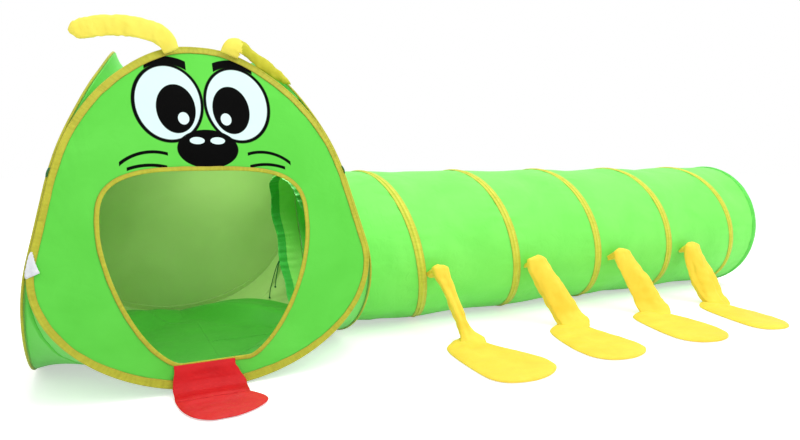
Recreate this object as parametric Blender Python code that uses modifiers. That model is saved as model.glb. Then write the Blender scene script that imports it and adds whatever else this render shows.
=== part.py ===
# Pop-up play tent for small children: a square head on four sprung hoops, whose mouth is the door,
# and a crawl tunnel on a wire coil, with four pairs of cloth legs.
# The origin is the middle of the head's floor. The face looks along -Y and the tunnel runs along +X.
from math import asin, cos, pi, radians, sin, sqrt

import bmesh
import bpy
import numpy as np
from mathutils import Matrix, Vector

# Cloth, wire and the clearance between pieces that touch
CLOTH = 0.001
TAPE = 0.0008
WIRE_RADIUS = 0.00125
GAP = 0.0003
TAPE_CLEAR = 0.0005

# Head: each side leans inward as it rises, and is bounded by one hoop
HEAD_HALF = 0.370
HEAD_TOP_HALF = 0.170
HOOP_HEIGHT = 0.755
SEAM_LOW = 0.30
SEAM_HIGH = 0.50
SEAM_LOW_HALF = 0.352
SEAM_SLOPE = 0.243
HOOP_TOP_SWELL = 3.0
HOOP_TOP_FLATTEN = 2.5
HOOP_TAPE_WIDTH = 0.017
SEAM_GAP = -0.0003  # between circles through the corners of two tapes, whose flats face each other
BULB_STEPS = 4
STEPS_BOTTOM, STEPS_SEAM, STEPS_TOP = 6, 2, 6
QUARTER_TURNS = {"front": 0, "right": 1, "back": 2, "left": 3}

# Roof and floor, inside the hoops
EDGE_INSET = 0.0038
CORNER_INSET = 0.0046
ROOF_MIDDLE = 0.735
ROOF_POWER = 3.5
FLOOR_FLAT_SHARE = 0.60

# Mouth in the front panel
MOUTH_X = -0.010
MOUTH_BOTTOM = 0.063
MOUTH_WIDEST = 0.345
MOUTH_TOP = 0.471
MOUTH_HALF_WIDTH = 0.216
MOUTH_FLAT_HALF = 0.070
MOUTH_LOWER_POWER = 1.55
MOUTH_UPPER_POWER = 3.5
MOUTH_TAPE_WIDTH = 0.010
MOUTH_TAPE_LIP = 0.0006

# Tunnel: outside radius over the coil's tape, and its own end rings
TUNNEL_RADIUS = 0.230
TUNNEL_END = 2.000
COIL_PITCH = 0.3235
FIRST_BAND = 0.4834
COIL_STEPS = 24
COIL_FIRST_TURN = -1.25
COIL_LAST_TURN = 5.5
COIL_EASE = 0.015
TAPE_FIRST_TURN = -0.25
TAPE_LAST_TURN = 4.5
TUNNEL_TAPE_WIDTH = 0.020
BULGE_FOOT_HALF = 0.0020
BULGE_TOP_HALF = 0.0014
SKIN_ROW_SPACE = 0.125
NEAR_RADIUS = 0.2175
NEAR_HEIGHT = 0.2425
TAPER_END = 0.49
HOLE_LIP = 0.0025
COLLAR_LENGTH = 0.080
COLLAR_NARROWING = 0.010

# Legs: stub on the tunnel's wall, leg from the knee down, and a flat foot on the floor
LEG_FIRST = 0.605
LEG_PITCH = 0.336
LEG_TURN = radians(105)
LEG_LEANS = (0.045, 0.068, 0.072, 0.020)
FOOT_YAWS = (radians(3), radians(11), radians(15), radians(14))
STUB_REACH = 0.026
STUB_RISE = 0.018
STUB_HALF_WIDTHS = (0.007, 0.011, 0.017)
STUB_HALF_DEPTHS = (0.004, 0.005, 0.0045)
KNEE_RADIUS = 0.009
ANKLE_RADIUS = 0.005
ANKLE_REACH = 0.072
LEG_HALF_WIDTHS = (0.016, 0.022, 0.026, 0.027, 0.025, 0.023, 0.020, 0.018)
LEG_SHIN_HALF_DEPTH = 0.012
LEG_SIDES = 8
FOOT_LENGTH = 0.330
FOOT_HEEL_HALF = 0.045
FOOT_TOE_EXTRA = 0.075
FOOT_ROUNDNESS = 0.7
FOOT_HEEL_BACK = 0.028
FOOT_THICK = 0.012
FOOT_STEPS = 14
SIDES_OF_TUNNEL = {"near": -1, "far": 1}

# Tongue, sewn below the mouth and lying out on the floor
TONGUE_LEFT = -0.097
TONGUE_RIGHT = 0.030
TONGUE_FLARE = 0.020
TONGUE_THICK = 0.005
TONGUE_TOP = 0.062
TONGUE_SEAM_HALF = 0.0003
TONGUE_FOLD_OUT = 0.056
TONGUE_TIP_LENGTH = 0.118

# Antennae, tag, ties and drawcord
ANTENNA_SIDES = 8
ANTENNA_BASE_X = 0.058
ANTENNA_BASE_Z = 0.734
ANTENNA_HALF_DEPTH = 0.007
ANTENNA_STAND_OFF = 0.004
TAG_WIDTH, TAG_FIRST_SHARE, TAG_LAST_SHARE = 0.030, 0.1, 0.8
TIE_WIDTH, TIE_LOW, TIE_HIGH = 0.008, 0.465, 0.502
CORD_RADIUS = 0.0015

# Values that follow from the ones above
HALF_CLOTH = CLOTH / 2
LEG_INNER = HALF_CLOTH + TAPE_CLEAR
LEG_OUTER = LEG_INNER + TAPE


def bulb_radius(clear, slot):
    """Corner radius of a bulb of few sides that keeps `clear` from its middle and opens by `slot`."""
    radius = clear
    for _ in range(20):
        step = (2 * pi - 2 * asin(slot / radius)) / BULB_STEPS
        radius = clear / cos(step / 2)
    return radius


BULB_INNER = bulb_radius(WIRE_RADIUS + GAP, LEG_INNER)
BULB_OUTER = BULB_INNER + TAPE
SEAM_SETBACK = (2 * BULB_OUTER + SEAM_GAP) / sqrt(2)
BULGE_INSIDE = 2 * WIRE_RADIUS + GAP
BULGE_OUTSIDE = BULGE_INSIDE + TAPE
SKIN_RADIUS = TUNNEL_RADIUS - BULGE_OUTSIDE - GAP
TUNNEL_HEIGHT = TUNNEL_RADIUS
STRIP_SETBACK = 2 * GAP * COIL_STEPS / (2 * pi * TUNNEL_RADIUS)
LEGS = [(side, number) for side in SIDES_OF_TUNNEL for number in range(1, 5)]


def clear_scene():
    for obj in list(bpy.data.objects):
        bpy.data.objects.remove(obj)


clear_scene()
PARTS = bpy.data.collections.new("play_tent")
bpy.context.scene.collection.children.link(PARTS)


def cloth_material(name, color, roughness=0.75, metallic=0.0):
    """A Principled material whose colour is given as it looks on screen, 0 to 255."""
    material = bpy.data.materials.new(name)
    material.use_nodes = True
    shader = material.node_tree.nodes["Principled BSDF"]
    linear = [(c / 255) ** 2.2 for c in color]
    shader.inputs["Base Color"].default_value = (*linear, 1)
    shader.inputs["Roughness"].default_value = roughness
    shader.inputs["Metallic"].default_value = metallic
    return material


COLORS = {
    "green": (110, 240, 100),
    "dark_green": (40, 120, 60),
    "yellow_tape": (215, 205, 60),
    "yellow": (255, 225, 75),
    "red": (215, 30, 35),
    "white": (235, 235, 235),
}


def own_material(name, color):
    return cloth_material(f"{name}_{color}", COLORS[color])


def finish(name, bm, material):
    """Turns the built faces into an object of the tent, with its faces pointing out."""
    bmesh.ops.recalc_face_normals(bm, faces=bm.faces)
    mesh = bpy.data.meshes.new(name)
    bm.to_mesh(mesh)
    bm.free()
    mesh.materials.append(material)
    mesh.shade_smooth()
    mesh.set_sharp_from_angle(angle=radians(35))
    obj = bpy.data.objects.new(name, mesh)
    PARTS.objects.link(obj)
    return obj


def set_origin(obj, point):
    """Puts the object's origin on its joint, without moving its shape."""
    obj.data.transform(Matrix.Translation(-Vector(point)))
    obj.location = point


def loft(rows, round_rows=False):
    """Quads between rows of as many points each. Each row closes on itself."""
    bm = bmesh.new()
    verts = [[bm.verts.new(point) for point in row] for row in rows]
    columns = len(rows[0])
    last_row = len(rows) if round_rows else len(rows) - 1
    for i in range(last_row):
        a, b = verts[i], verts[(i + 1) % len(rows)]
        for j in range(columns):
            k = (j + 1) % columns
            bm.faces.new((a[j], a[k], b[k], b[j]))
    return bm, verts


def solid_loft(name, rows, material, closed=False):
    """A solid swept through cross-sections: closed on itself, or with flat ends."""
    bm, verts = loft(rows, round_rows=closed)
    if not closed:
        bm.faces.new(verts[0])
        bm.faces.new(list(reversed(verts[-1])))
    return finish(name, bm, material)


def cloth_sheet(name, rows, material, middle=None, thickness=CLOTH):
    """Cloth round an opening or a middle point, as an open surface that is then given its thickness."""
    bm, verts = loft(rows)
    if middle is not None:
        centre = bm.verts.new(middle)
        last = verts[-1]
        for j, vert in enumerate(last):
            bm.faces.new((vert, last[(j + 1) % len(last)], centre))
    obj = finish(name, bm, material)
    solid = obj.modifiers.new("cloth", "SOLIDIFY")
    solid.thickness = thickness
    solid.offset = 0
    return obj


def wire_tube(name, points, radius, material, cyclic=False, resolution=1):
    """A round wire or cord along its points."""
    curve = bpy.data.curves.new(name, "CURVE")
    curve.dimensions = "3D"
    curve.bevel_depth = radius
    curve.bevel_resolution = resolution
    curve.use_fill_caps = True
    spline = curve.splines.new("POLY")
    spline.points.add(len(points) - 1)
    for slot, point in zip(spline.points, points):
        slot.co = (*point, 1)
    spline.use_cyclic_u = cyclic
    curve.materials.append(material)
    obj = bpy.data.objects.new(name, curve)
    PARTS.objects.link(obj)
    return obj


def even_points(curve, count):
    """Start points of `count` equal steps along a curve of 0 to 1."""
    samples = np.array([curve(i / 400) for i in range(401)])
    lengths = np.concatenate([[0], np.cumsum(np.linalg.norm(np.diff(samples, axis=0), axis=1))])
    wanted = np.arange(count) / count * lengths[-1]
    return [tuple(np.interp(w, lengths, samples[:, axis]) for axis in range(2)) for w in wanted]


def mirrored_round(half):
    """A whole outline from its right half, which starts and ends on the middle line."""
    return half + [(-u, z) for u, z in reversed(half[1:-1])]


# Panels of the head

def panel_distance(z):
    """Distance of a side panel from the head's middle, at a height. The seams with its neighbours are
    straight, so that the hoops can turn about them."""
    if z < SEAM_LOW:
        drop = HEAD_HALF - SEAM_LOW_HALF
        power = SEAM_SLOPE * SEAM_LOW / drop
        return HEAD_HALF - drop * (max(z, 0) / SEAM_LOW) ** power
    straight = SEAM_LOW_HALF - SEAM_SLOPE * (z - SEAM_LOW)
    if z < SEAM_HIGH:
        return straight
    top_straight = SEAM_LOW_HALF - SEAM_SLOPE * (HOOP_HEIGHT - SEAM_LOW)
    share = (z - SEAM_HIGH) / (HOOP_HEIGHT - SEAM_HIGH)
    return straight - (top_straight - HEAD_TOP_HALF) * share**2


def panel_point(u, z):
    return Vector((u, -panel_distance(z), z))


def panel_normal(z):
    """Outward normal of the front panel."""
    small = 0.001
    slope = (panel_distance(z + small) - panel_distance(z - small)) / (2 * small)
    return Vector((0, -1, -slope)).normalized()


def to_side(side, point):
    """Turns a point of the front side onto one of the four sides."""
    return Matrix.Rotation(QUARTER_TURNS[side] * pi / 2, 3, "Z") @ Vector(point)


def hoop_bottom(share):
    turn = (1 - share) * pi / 2
    z = SEAM_LOW - (SEAM_LOW - BULB_OUTER) * sin(turn)
    return (panel_distance(z) - SEAM_SETBACK) * cos(turn), z


def hoop_seam(share):
    z = SEAM_LOW + (SEAM_HIGH - SEAM_LOW) * share
    return panel_distance(z) - SEAM_SETBACK, z


def hoop_top(share):
    turn = share * pi / 2
    z = SEAM_HIGH + (HOOP_HEIGHT - BULB_OUTER - SEAM_HIGH) * sin(turn) ** (2 / HOOP_TOP_SWELL)
    across = max(cos(turn), 0) ** (2 / HOOP_TOP_FLATTEN)
    return (panel_distance(z) - SEAM_SETBACK) * across, z


def hoop_outline():
    """The hoop's wire as (u, z), from the middle of the floor edge round by the right."""
    half = even_points(hoop_bottom, STEPS_BOTTOM)
    half += even_points(hoop_seam, STEPS_SEAM)
    half += even_points(hoop_top, STEPS_TOP)
    return mirrored_round(half + [hoop_top(1)])


def edge_frames(outline):
    """At each point of an outline on the front panel: the point, the way into the outline and the way out
    of the panel."""
    frames = []
    count = len(outline)
    for i, (u, z) in enumerate(outline):
        before = panel_point(*outline[i - 1])
        after = panel_point(*outline[(i + 1) % count])
        out = panel_normal(z)
        inward = out.cross(after - before).normalized()
        frames.append((panel_point(u, z), inward, out))
    return frames


HOOP = hoop_outline()
HOOP_FRAMES = edge_frames(HOOP)


def bulb_section(leg_length):
    """Binding tape round a wire, with a leg on each face of the cloth, as (inward, outward)."""
    def arc(radius, slot):
        start = asin(slot / radius)
        step = (2 * pi - 2 * start) / BULB_STEPS
        turns = [start + step * i for i in range(BULB_STEPS + 1)]
        return [(radius * cos(turn), radius * sin(turn)) for turn in turns]

    outer = arc(BULB_OUTER, LEG_OUTER)
    inner = arc(BULB_INNER, LEG_INNER)
    return [(leg_length, LEG_OUTER), *outer, (leg_length, -LEG_OUTER),
            (leg_length, -LEG_INNER), *reversed(inner), (leg_length, LEG_INNER)]


def lip_section(width, lip):
    """Binding tape folded over a cut edge, as (into the cloth, outward)."""
    return [(width, LEG_OUTER), (-lip - TAPE, LEG_OUTER), (-lip - TAPE, -LEG_OUTER), (width, -LEG_OUTER),
            (width, -LEG_INNER), (-lip, -LEG_INNER), (-lip, LEG_INNER), (width, LEG_INNER)]


def place_section(frame, section, way=1):
    point, inward, out = frame
    return [point + inward * (a * way) + out * b for a, b in section]


def make_hoop(side):
    tape = [[to_side(side, p) for p in place_section(frame, bulb_section(HOOP_TAPE_WIDTH))]
            for frame in HOOP_FRAMES]
    solid_loft(f"{side}_hoop_tape", tape, own_material(f"{side}_tape", "yellow_tape"), closed=True)
    wire = [to_side(side, point) for point, _, _ in HOOP_FRAMES]
    steel = cloth_material(f"{side}_wire_steel", (150, 150, 155), 0.35, 1.0)
    wire_tube(f"{side}_hoop_wire", wire, WIRE_RADIUS, steel, cyclic=True)


def panel_rows(side, inner, inner_frames=(), between=(0.33, 0.67)):
    """Rows of the cloth from inside the hoop's tape to an inner outline on the panel."""
    first = [point + inward * (BULB_INNER + GAP) for point, inward, _ in HOOP_FRAMES]
    second = [point + inward * (HOOP_TAPE_WIDTH + GAP) for point, inward, _ in HOOP_FRAMES]
    rows = [first, second]
    for share in between:
        row = []
        for outer, (u, z) in zip(second, inner):
            row.append(panel_point(outer.x + (u - outer.x) * share, outer.z + (z - outer.z) * share))
        rows.append(row)
    rows += inner_frames
    return [[to_side(side, point) for point in row] for row in rows]


def make_plain_panel(side):
    """A side with no opening."""
    middle = (0, (SEAM_LOW + SEAM_HIGH) / 2)
    rows = panel_rows(side, [middle] * len(HOOP), between=(0.35, 0.7))
    cloth_sheet(f"{side}_panel", rows, own_material(side, "green"),
                middle=to_side(side, panel_point(*middle)))


# Mouth

def mouth_half(share):
    """Right half of the mouth, from the middle of its lower edge to the middle of its top."""
    if share < 0.1:
        return MOUTH_FLAT_HALF * share / 0.1, MOUTH_BOTTOM
    if share < 0.55:
        turn = (1 - (share - 0.1) / 0.45) * pi / 2
        power = 2 / MOUTH_LOWER_POWER
        u = MOUTH_FLAT_HALF + (MOUTH_HALF_WIDTH - MOUTH_FLAT_HALF) * max(cos(turn), 0) ** power
        return u, MOUTH_WIDEST - (MOUTH_WIDEST - MOUTH_BOTTOM) * sin(turn) ** power
    turn = (share - 0.55) / 0.45 * pi / 2
    power = 2 / MOUTH_UPPER_POWER
    u = MOUTH_HALF_WIDTH * max(cos(turn), 0) ** power
    return u, MOUTH_WIDEST + (MOUTH_TOP - MOUTH_WIDEST) * sin(turn) ** power


def mouth_outline():
    half = even_points(mouth_half, len(HOOP) // 2) + [mouth_half(1)]
    return [(u + MOUTH_X, z) for u, z in mirrored_round(half)]


def make_front_panel():
    outline = mouth_outline()
    frames = edge_frames(outline)
    rim = [point for point, _, _ in frames]
    beside = [point - inward * (MOUTH_TAPE_WIDTH + GAP) for point, inward, _ in frames]
    rows = panel_rows("front", [(p.x, p.z) for p in beside], inner_frames=[beside, rim])
    cloth_sheet("front_panel", rows, own_material("front", "green"))
    section = lip_section(MOUTH_TAPE_WIDTH, MOUTH_TAPE_LIP)
    tape = [place_section(frame, section, way=-1) for frame in frames]
    solid_loft("mouth_tape", tape, own_material("mouth", "yellow_tape"), closed=True)


# Roof and floor

def inner_edge(stations):
    """The edge of the roof or floor cloth just inside the four hoops, one side after the other."""
    edge = []
    for side in QUARTER_TURNS:
        for u, z in stations[:-1]:
            whole = panel_distance(z) - SEAM_SETBACK
            share = abs(u) / whole
            inset = EDGE_INSET + (CORNER_INSET - EDGE_INSET) * share**4
            inner_u = u * (1 - (CORNER_INSET - SEAM_SETBACK) * share**4 / whole)
            edge.append(to_side(side, panel_point(inner_u, z) + Vector((0, inset, 0))))
    return edge


def make_floor():
    bottom = HOOP[-STEPS_BOTTOM:] + HOOP[:STEPS_BOTTOM + 1]
    edge = inner_edge(bottom)

    def lift(share):
        """How far a gusset has risen, going out from the flat floor to the hoops."""
        out = max(0, (share - FLOOR_FLAT_SHARE) / (1 - FLOOR_FLAT_SHARE))
        return 0.35 * out**2 + 0.65 * out**14

    rows = []
    for share in (1, 0.975, 0.93, 0.82, FLOOR_FLAT_SHARE):
        rows.append([Vector((p.x * share, p.y * share, HALF_CLOTH + (p.z - HALF_CLOTH) * lift(share)))
                     for p in edge])
    cloth_sheet("floor_panel", rows, own_material("floor", "green"), middle=Vector((0, 0, HALF_CLOTH)))


def make_roof():
    first = STEPS_BOTTOM + STEPS_SEAM
    top = HOOP[first:first + 2 * STEPS_TOP + 1]
    edge = inner_edge([(-u, z) for u, z in top])
    rows = []
    for share in (1, 0.93, 0.8, 0.6, 0.3):
        drop = share**ROOF_POWER
        rows.append([Vector((p.x * share, p.y * share, ROOF_MIDDLE + (p.z - ROOF_MIDDLE) * drop))
                     for p in edge])
    cloth_sheet("roof_panel", rows, own_material("roof", "green"), middle=Vector((0, 0, ROOF_MIDDLE)))


# Tunnel

def near_edge(turn):
    """Where the tunnel's cloth meets the right panel, at a turn of the coil counted from its top."""
    z = NEAR_HEIGHT + NEAR_RADIUS * cos(2 * pi * turn)
    return panel_distance(z) + HALF_CLOTH + 2 * GAP


def skin_circle(x, turn):
    """Outer radius and centre height of the tunnel's cloth."""
    start = near_edge(turn)
    share = min(max((x - start) / (TAPER_END - start), 0), 1)
    radius = NEAR_RADIUS + (SKIN_RADIUS - NEAR_RADIUS) * share
    return radius, NEAR_HEIGHT + (TUNNEL_HEIGHT - NEAR_HEIGHT) * share


def on_tunnel(x, turn, above=0.0):
    """A point a given height above the tunnel's cloth."""
    radius, height = skin_circle(x, turn)
    reach = radius + above
    return Vector((x, -reach * sin(2 * pi * turn), height + reach * cos(2 * pi * turn)))


def soft_max(a, b):
    """The larger of two places, eased where they are within COIL_EASE of each other."""
    more = a - b
    if more >= COIL_EASE:
        return a
    if more <= -COIL_EASE:
        return b
    return b + (more + COIL_EASE) ** 2 / (4 * COIL_EASE)


def coil_x(turn):
    """Place of the coil along the tunnel: a ring on the head, a helix, then a ring at the far end."""
    near_ring = near_edge(turn) + TUNNEL_TAPE_WIDTH / 2 + GAP
    far_ring = TUNNEL_END - TUNNEL_TAPE_WIDTH / 2
    helix = FIRST_BAND + COIL_PITCH * turn
    return -soft_max(-soft_max(helix, near_ring), -far_ring)


def coil_turns(first, last):
    count = round((last - first) * COIL_STEPS)
    return [first + i / COIL_STEPS for i in range(count + 1)]


def make_tunnel_skin():
    turns = [i / COIL_STEPS for i in range(COIL_STEPS)]
    starts = [near_edge(turn) for turn in turns]
    places = [starts, [(start + TAPER_END) / 2 for start in starts]]
    spaces = round((TUNNEL_END - TAPER_END) / SKIN_ROW_SPACE)
    places += [[TAPER_END + (TUNNEL_END - TAPER_END) * i / spaces] * COIL_STEPS for i in range(spaces + 1)]
    rows = [[on_tunnel(x, turn, -HALF_CLOTH) for x, turn in zip(row, turns)] for row in places]
    cloth_sheet("tunnel_skin", rows, own_material("tunnel", "green"))


def strip_section(turn, width):
    """Tape laid over the coil's wire and the cloth beside it, in the plane of the tunnel's axis."""
    x = coil_x(turn)
    half = width / 2
    under = [(-half, 0), (-BULGE_FOOT_HALF, 0), (-BULGE_TOP_HALF, BULGE_INSIDE),
             (BULGE_TOP_HALF, BULGE_INSIDE), (BULGE_FOOT_HALF, 0), (half, 0)]
    over = [(half, TAPE), (BULGE_FOOT_HALF, BULGE_OUTSIDE), (-BULGE_FOOT_HALF, BULGE_OUTSIDE),
            (-half, TAPE)]
    return [on_tunnel(x + a, turn, GAP + b) for a, b in under + over]


def make_coil_strip(name, first, last, material, clear_first=False, clear_last=False):
    """Tape or hem along the coil, set back a little where it meets the next strip."""
    rows = [strip_section(turn, TUNNEL_TAPE_WIDTH) for turn in coil_turns(first, last)]
    if clear_first:
        rows[0] = [a.lerp(b, STRIP_SETBACK) for a, b in zip(rows[0], rows[1])]
    if clear_last:
        rows[-1] = [a.lerp(b, STRIP_SETBACK) for a, b in zip(rows[-1], rows[-2])]
    return solid_loft(name, rows, material)


def print_coil_gap(points):
    """Prints the least gap between one turn of the coil and the next."""
    line = np.array([tuple(p) for p in points])
    least = min(np.linalg.norm(line[i + COIL_STEPS // 2:] - line[i], axis=1).min()
                for i in range(len(line) - COIL_STEPS // 2))
    print(f"Least gap of the tunnel coil to itself: {1000 * (least - 2 * WIRE_RADIUS):.1f} mm")


def make_coil():
    turns = coil_turns(COIL_FIRST_TURN, COIL_LAST_TURN)
    points = [on_tunnel(coil_x(turn), turn, GAP + WIRE_RADIUS) for turn in turns]
    steel = cloth_material("coil_wire_steel", (150, 150, 155), 0.35, 1.0)
    wire_tube("tunnel_coil_wire", points, WIRE_RADIUS, steel)
    print_coil_gap(points)
    make_coil_strip("tunnel_near_hem", COIL_FIRST_TURN, TAPE_FIRST_TURN, own_material("near_hem", "green"),
                    clear_last=True)
    make_coil_strip("tunnel_coil_tape", TAPE_FIRST_TURN, TAPE_LAST_TURN,
                    own_material("coil", "yellow_tape"))
    end_hem = make_coil_strip("tunnel_end_hem", TAPE_LAST_TURN, COIL_LAST_TURN,
                              own_material("end_hem", "green"), clear_first=True)
    set_origin(end_hem, (TUNNEL_END, 0, TUNNEL_HEIGHT))


def make_right_panel():
    """The side that the tunnel leaves by, and the drawstring collar round its opening."""
    count = len(HOOP)
    radius = NEAR_RADIUS - HOLE_LIP
    hole = [(radius * sin(2 * pi * i / count), NEAR_HEIGHT - radius * cos(2 * pi * i / count))
            for i in range(count)]
    rows = panel_rows("right", hole, inner_frames=[[panel_point(u, z) for u, z in hole]])
    cloth_sheet("right_panel", rows, own_material("right", "green"))

    def ring(depth, radius):
        """A ring of the collar, a depth inside the panel."""
        points = []
        for i in range(COIL_STEPS):
            angle = 2 * pi * i / COIL_STEPS
            z = NEAR_HEIGHT + radius * cos(angle)
            x = panel_distance(z) - HALF_CLOTH - 2 * GAP - depth
            points.append(Vector((x, radius * sin(angle), z)))
        return points

    inner = NEAR_RADIUS - COLLAR_NARROWING
    rows = [ring(0, NEAR_RADIUS), ring(COLLAR_LENGTH / 2, NEAR_RADIUS), ring(COLLAR_LENGTH, inner)]
    cloth_sheet("tunnel_collar", rows, own_material("collar", "dark_green"))


def make_drawcord():
    """Both ends of the cord that gathers the collar, hanging from its rim on the far side."""
    rim = NEAR_RADIUS - COLLAR_NARROWING
    turn = radians(110)
    y = rim * sin(turn)
    z = NEAR_HEIGHT + rim * cos(turn)
    x = panel_distance(z) - HALF_CLOTH - 2 * GAP - COLLAR_LENGTH - CORD_RADIUS - GAP
    route = [(-0.030, 0.012, -0.120), (-0.026, 0.010, -0.085), (-0.014, 0.006, -0.040),
             (-0.004, 0.004, -0.010), (0, 0, 0), (-0.004, -0.006, -0.010), (-0.012, -0.014, -0.040),
             (-0.020, -0.022, -0.080)]
    points = [Vector((x + a, y + b, z + c)) for a, b, c in route]
    wire_tube("collar_drawcord", points, CORD_RADIUS, own_material("drawcord", "dark_green"))


# Soft pieces with an oval cross-section

def oval(point, width_way, depth_way, half_width, half_depth, sides):
    """An oval ring round a point."""
    return [point + width_way * (half_width * cos(2 * pi * i / sides))
            + depth_way * (half_depth * sin(2 * pi * i / sides)) for i in range(sides)]


# Legs

def leg_points(side, number):
    """A leg's root on the tunnel's wall, its knee and ankle, and the tunnel's outward way at the root."""
    way = SIDES_OF_TUNNEL[side]
    x = LEG_FIRST + LEG_PITCH * (number - 1)
    turn = LEG_TURN / (2 * pi)
    near_root = on_tunnel(x, turn, GAP)
    root = Vector((x, -way * near_root.y, near_root.z))
    out = Vector((0, way * sin(LEG_TURN), cos(LEG_TURN)))
    knee = root + Vector((STUB_RISE / 2, way * (STUB_REACH + KNEE_RADIUS), STUB_RISE))
    ankle_z = FOOT_THICK + GAP + ANKLE_RADIUS
    ankle = Vector((knee.x + LEG_LEANS[number - 1], knee.y + way * ANKLE_REACH, ankle_z))
    return root, knee, ankle, out


def make_leg(side, number):
    """The stub on the tunnel's wall, then the leg, from its rounded knee to its ankle."""
    root, knee, ankle, out = leg_points(side, number)
    along_axis = Vector((1, 0, 0))
    name = f"{side}_leg_{number}"

    reach = Vector((0, knee.y - root.y, knee.z - root.z)).normalized()
    end = knee - reach * (KNEE_RADIUS + 3 * GAP)
    ways = (out, (out + reach).normalized(), reach)
    places = (root, (root + end) / 2, end)
    stub = [oval(place, along_axis, along_axis.cross(way), w, d, LEG_SIDES)
            for place, way, w, d in zip(places, ways, STUB_HALF_WIDTHS, STUB_HALF_DEPTHS)]
    solid_loft(f"{name}_stub", stub, own_material(f"{name}_stub", "yellow"))

    down = Vector((0, ankle.y - knee.y, ankle.z - knee.z)).normalized()
    depth_way = along_axis.cross(down)
    shin = [knee.lerp(ankle, share) for share in (0, 0.18, 0.45, 0.72)]
    points = [knee - down * KNEE_RADIUS * 0.8, *shin, ankle - down * ANKLE_RADIUS * 2, ankle,
              ankle + down * ANKLE_RADIUS * 0.75]
    half_depths = (KNEE_RADIUS * 0.55, KNEE_RADIUS, KNEE_RADIUS, LEG_SHIN_HALF_DEPTH,
                   LEG_SHIN_HALF_DEPTH * 0.85, ANKLE_RADIUS * 1.3, ANKLE_RADIUS * 0.95, ANKLE_RADIUS * 0.5)
    rows = [oval(point, along_axis, depth_way, w, d, LEG_SIDES)
            for point, w, d in zip(points, LEG_HALF_WIDTHS, half_depths)]
    leg = solid_loft(name, rows, own_material(name, "yellow"))
    set_origin(leg, knee)


def make_foot(side, number):
    """A flat padded foot: a narrow heel under the ankle and a wide round toe."""
    way = SIDES_OF_TUNNEL[side]
    _, _, ankle, _ = leg_points(side, number)
    yaw = FOOT_YAWS[number - 1]

    def ring(inset, z):
        points = []
        for i in range(FOOT_STEPS):
            angle = 2 * pi * i / FOOT_STEPS
            share = (1 - cos(angle)) / 2
            half = (FOOT_HEEL_HALF + FOOT_TOE_EXTRA * share) * abs(sin(angle)) ** FOOT_ROUNDNESS
            length = inset + (FOOT_LENGTH - 2 * inset) * share - FOOT_HEEL_BACK
            width = half * (1 - inset / FOOT_HEEL_HALF / 2) * (1 if sin(angle) >= 0 else -1)
            x = width * cos(yaw) - length * sin(yaw)
            y = length * cos(yaw) + width * sin(yaw)
            points.append(Vector((ankle.x + x, ankle.y + way * y, z)))
        return points

    rows = [ring(0.004, 0), ring(0, FOOT_THICK * 0.45), ring(0.007, FOOT_THICK)]
    name = f"{side}_foot_{number}"
    foot = solid_loft(name, rows, own_material(name, "yellow"))
    set_origin(foot, ankle)


# Face

def make_tongue():
    """The tongue comes down from below the mouth, over the hoop, and its tip lies out on the floor. It is
    thin along both of its seams."""
    half = TONGUE_THICK / 2
    fold_y = -HEAD_HALF - TONGUE_FOLD_OUT
    seam_y = -HEAD_HALF - LEG_OUTER - GAP - TONGUE_SEAM_HALF
    below_y = seam_y + TONGUE_SEAM_HALF - half
    wall_y = -HEAD_HALF - BULB_OUTER - 2 * GAP - half
    left = TONGUE_LEFT - TONGUE_FLARE / 4
    right = TONGUE_RIGHT + TONGUE_FLARE

    def across(start, end, place, normal, thick):
        """A cross-section: a flat bar with edges brought to a point."""
        y, z = place
        edge = 0.8 * thick
        outline = [(start, 0), (start + edge, thick), (end - edge, thick), (end, 0),
                   (end - edge, -thick), (start + edge, -thick)]
        return [Vector((x, y, z)) + normal * b for x, b in outline]

    up = Vector((0, 0, 1))
    ahead = Vector((0, -1, 0))
    sloping = (up + ahead).normalized()
    upper = [across(TONGUE_LEFT, TONGUE_RIGHT, (seam_y, TONGUE_TOP), ahead, TONGUE_SEAM_HALF),
             across(TONGUE_LEFT, TONGUE_RIGHT, (below_y, TONGUE_TOP - 3 * half), ahead, half),
             across(TONGUE_LEFT, TONGUE_RIGHT, (wall_y - 0.001, 0.036), ahead, half),
             across(left, right, (wall_y - 0.009, 0.018), sloping, half),
             across(left, right, (fold_y + 5 * half, 2.2 * half), up, half),
             across(left, right, (fold_y + 1.4 * half, 1.1 * half), up, half * 0.9),
             across(left, right, (fold_y + 2 * GAP, half), up, TONGUE_SEAM_HALF)]
    obj = solid_loft("tongue_upper", upper, own_material("tongue_upper", "red"))
    set_origin(obj, (0, seam_y, TONGUE_TOP))

    middle, width = (left + right) / 2, (right - left) / 2
    tip = []
    for share in (0, 0.03, 0.35, 0.65, 0.88, 1):
        thick = half if share else TONGUE_SEAM_HALF
        reach = width * sqrt(1 - (share * 0.93) ** 2.6)
        place = (fold_y - TONGUE_TIP_LENGTH * share, half)
        tip.append(across(middle - reach, middle + reach, place, up, thick))
    obj = solid_loft("tongue_tip", tip, own_material("tongue_tip", "red"))
    set_origin(obj, (middle, fold_y, half))


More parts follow.
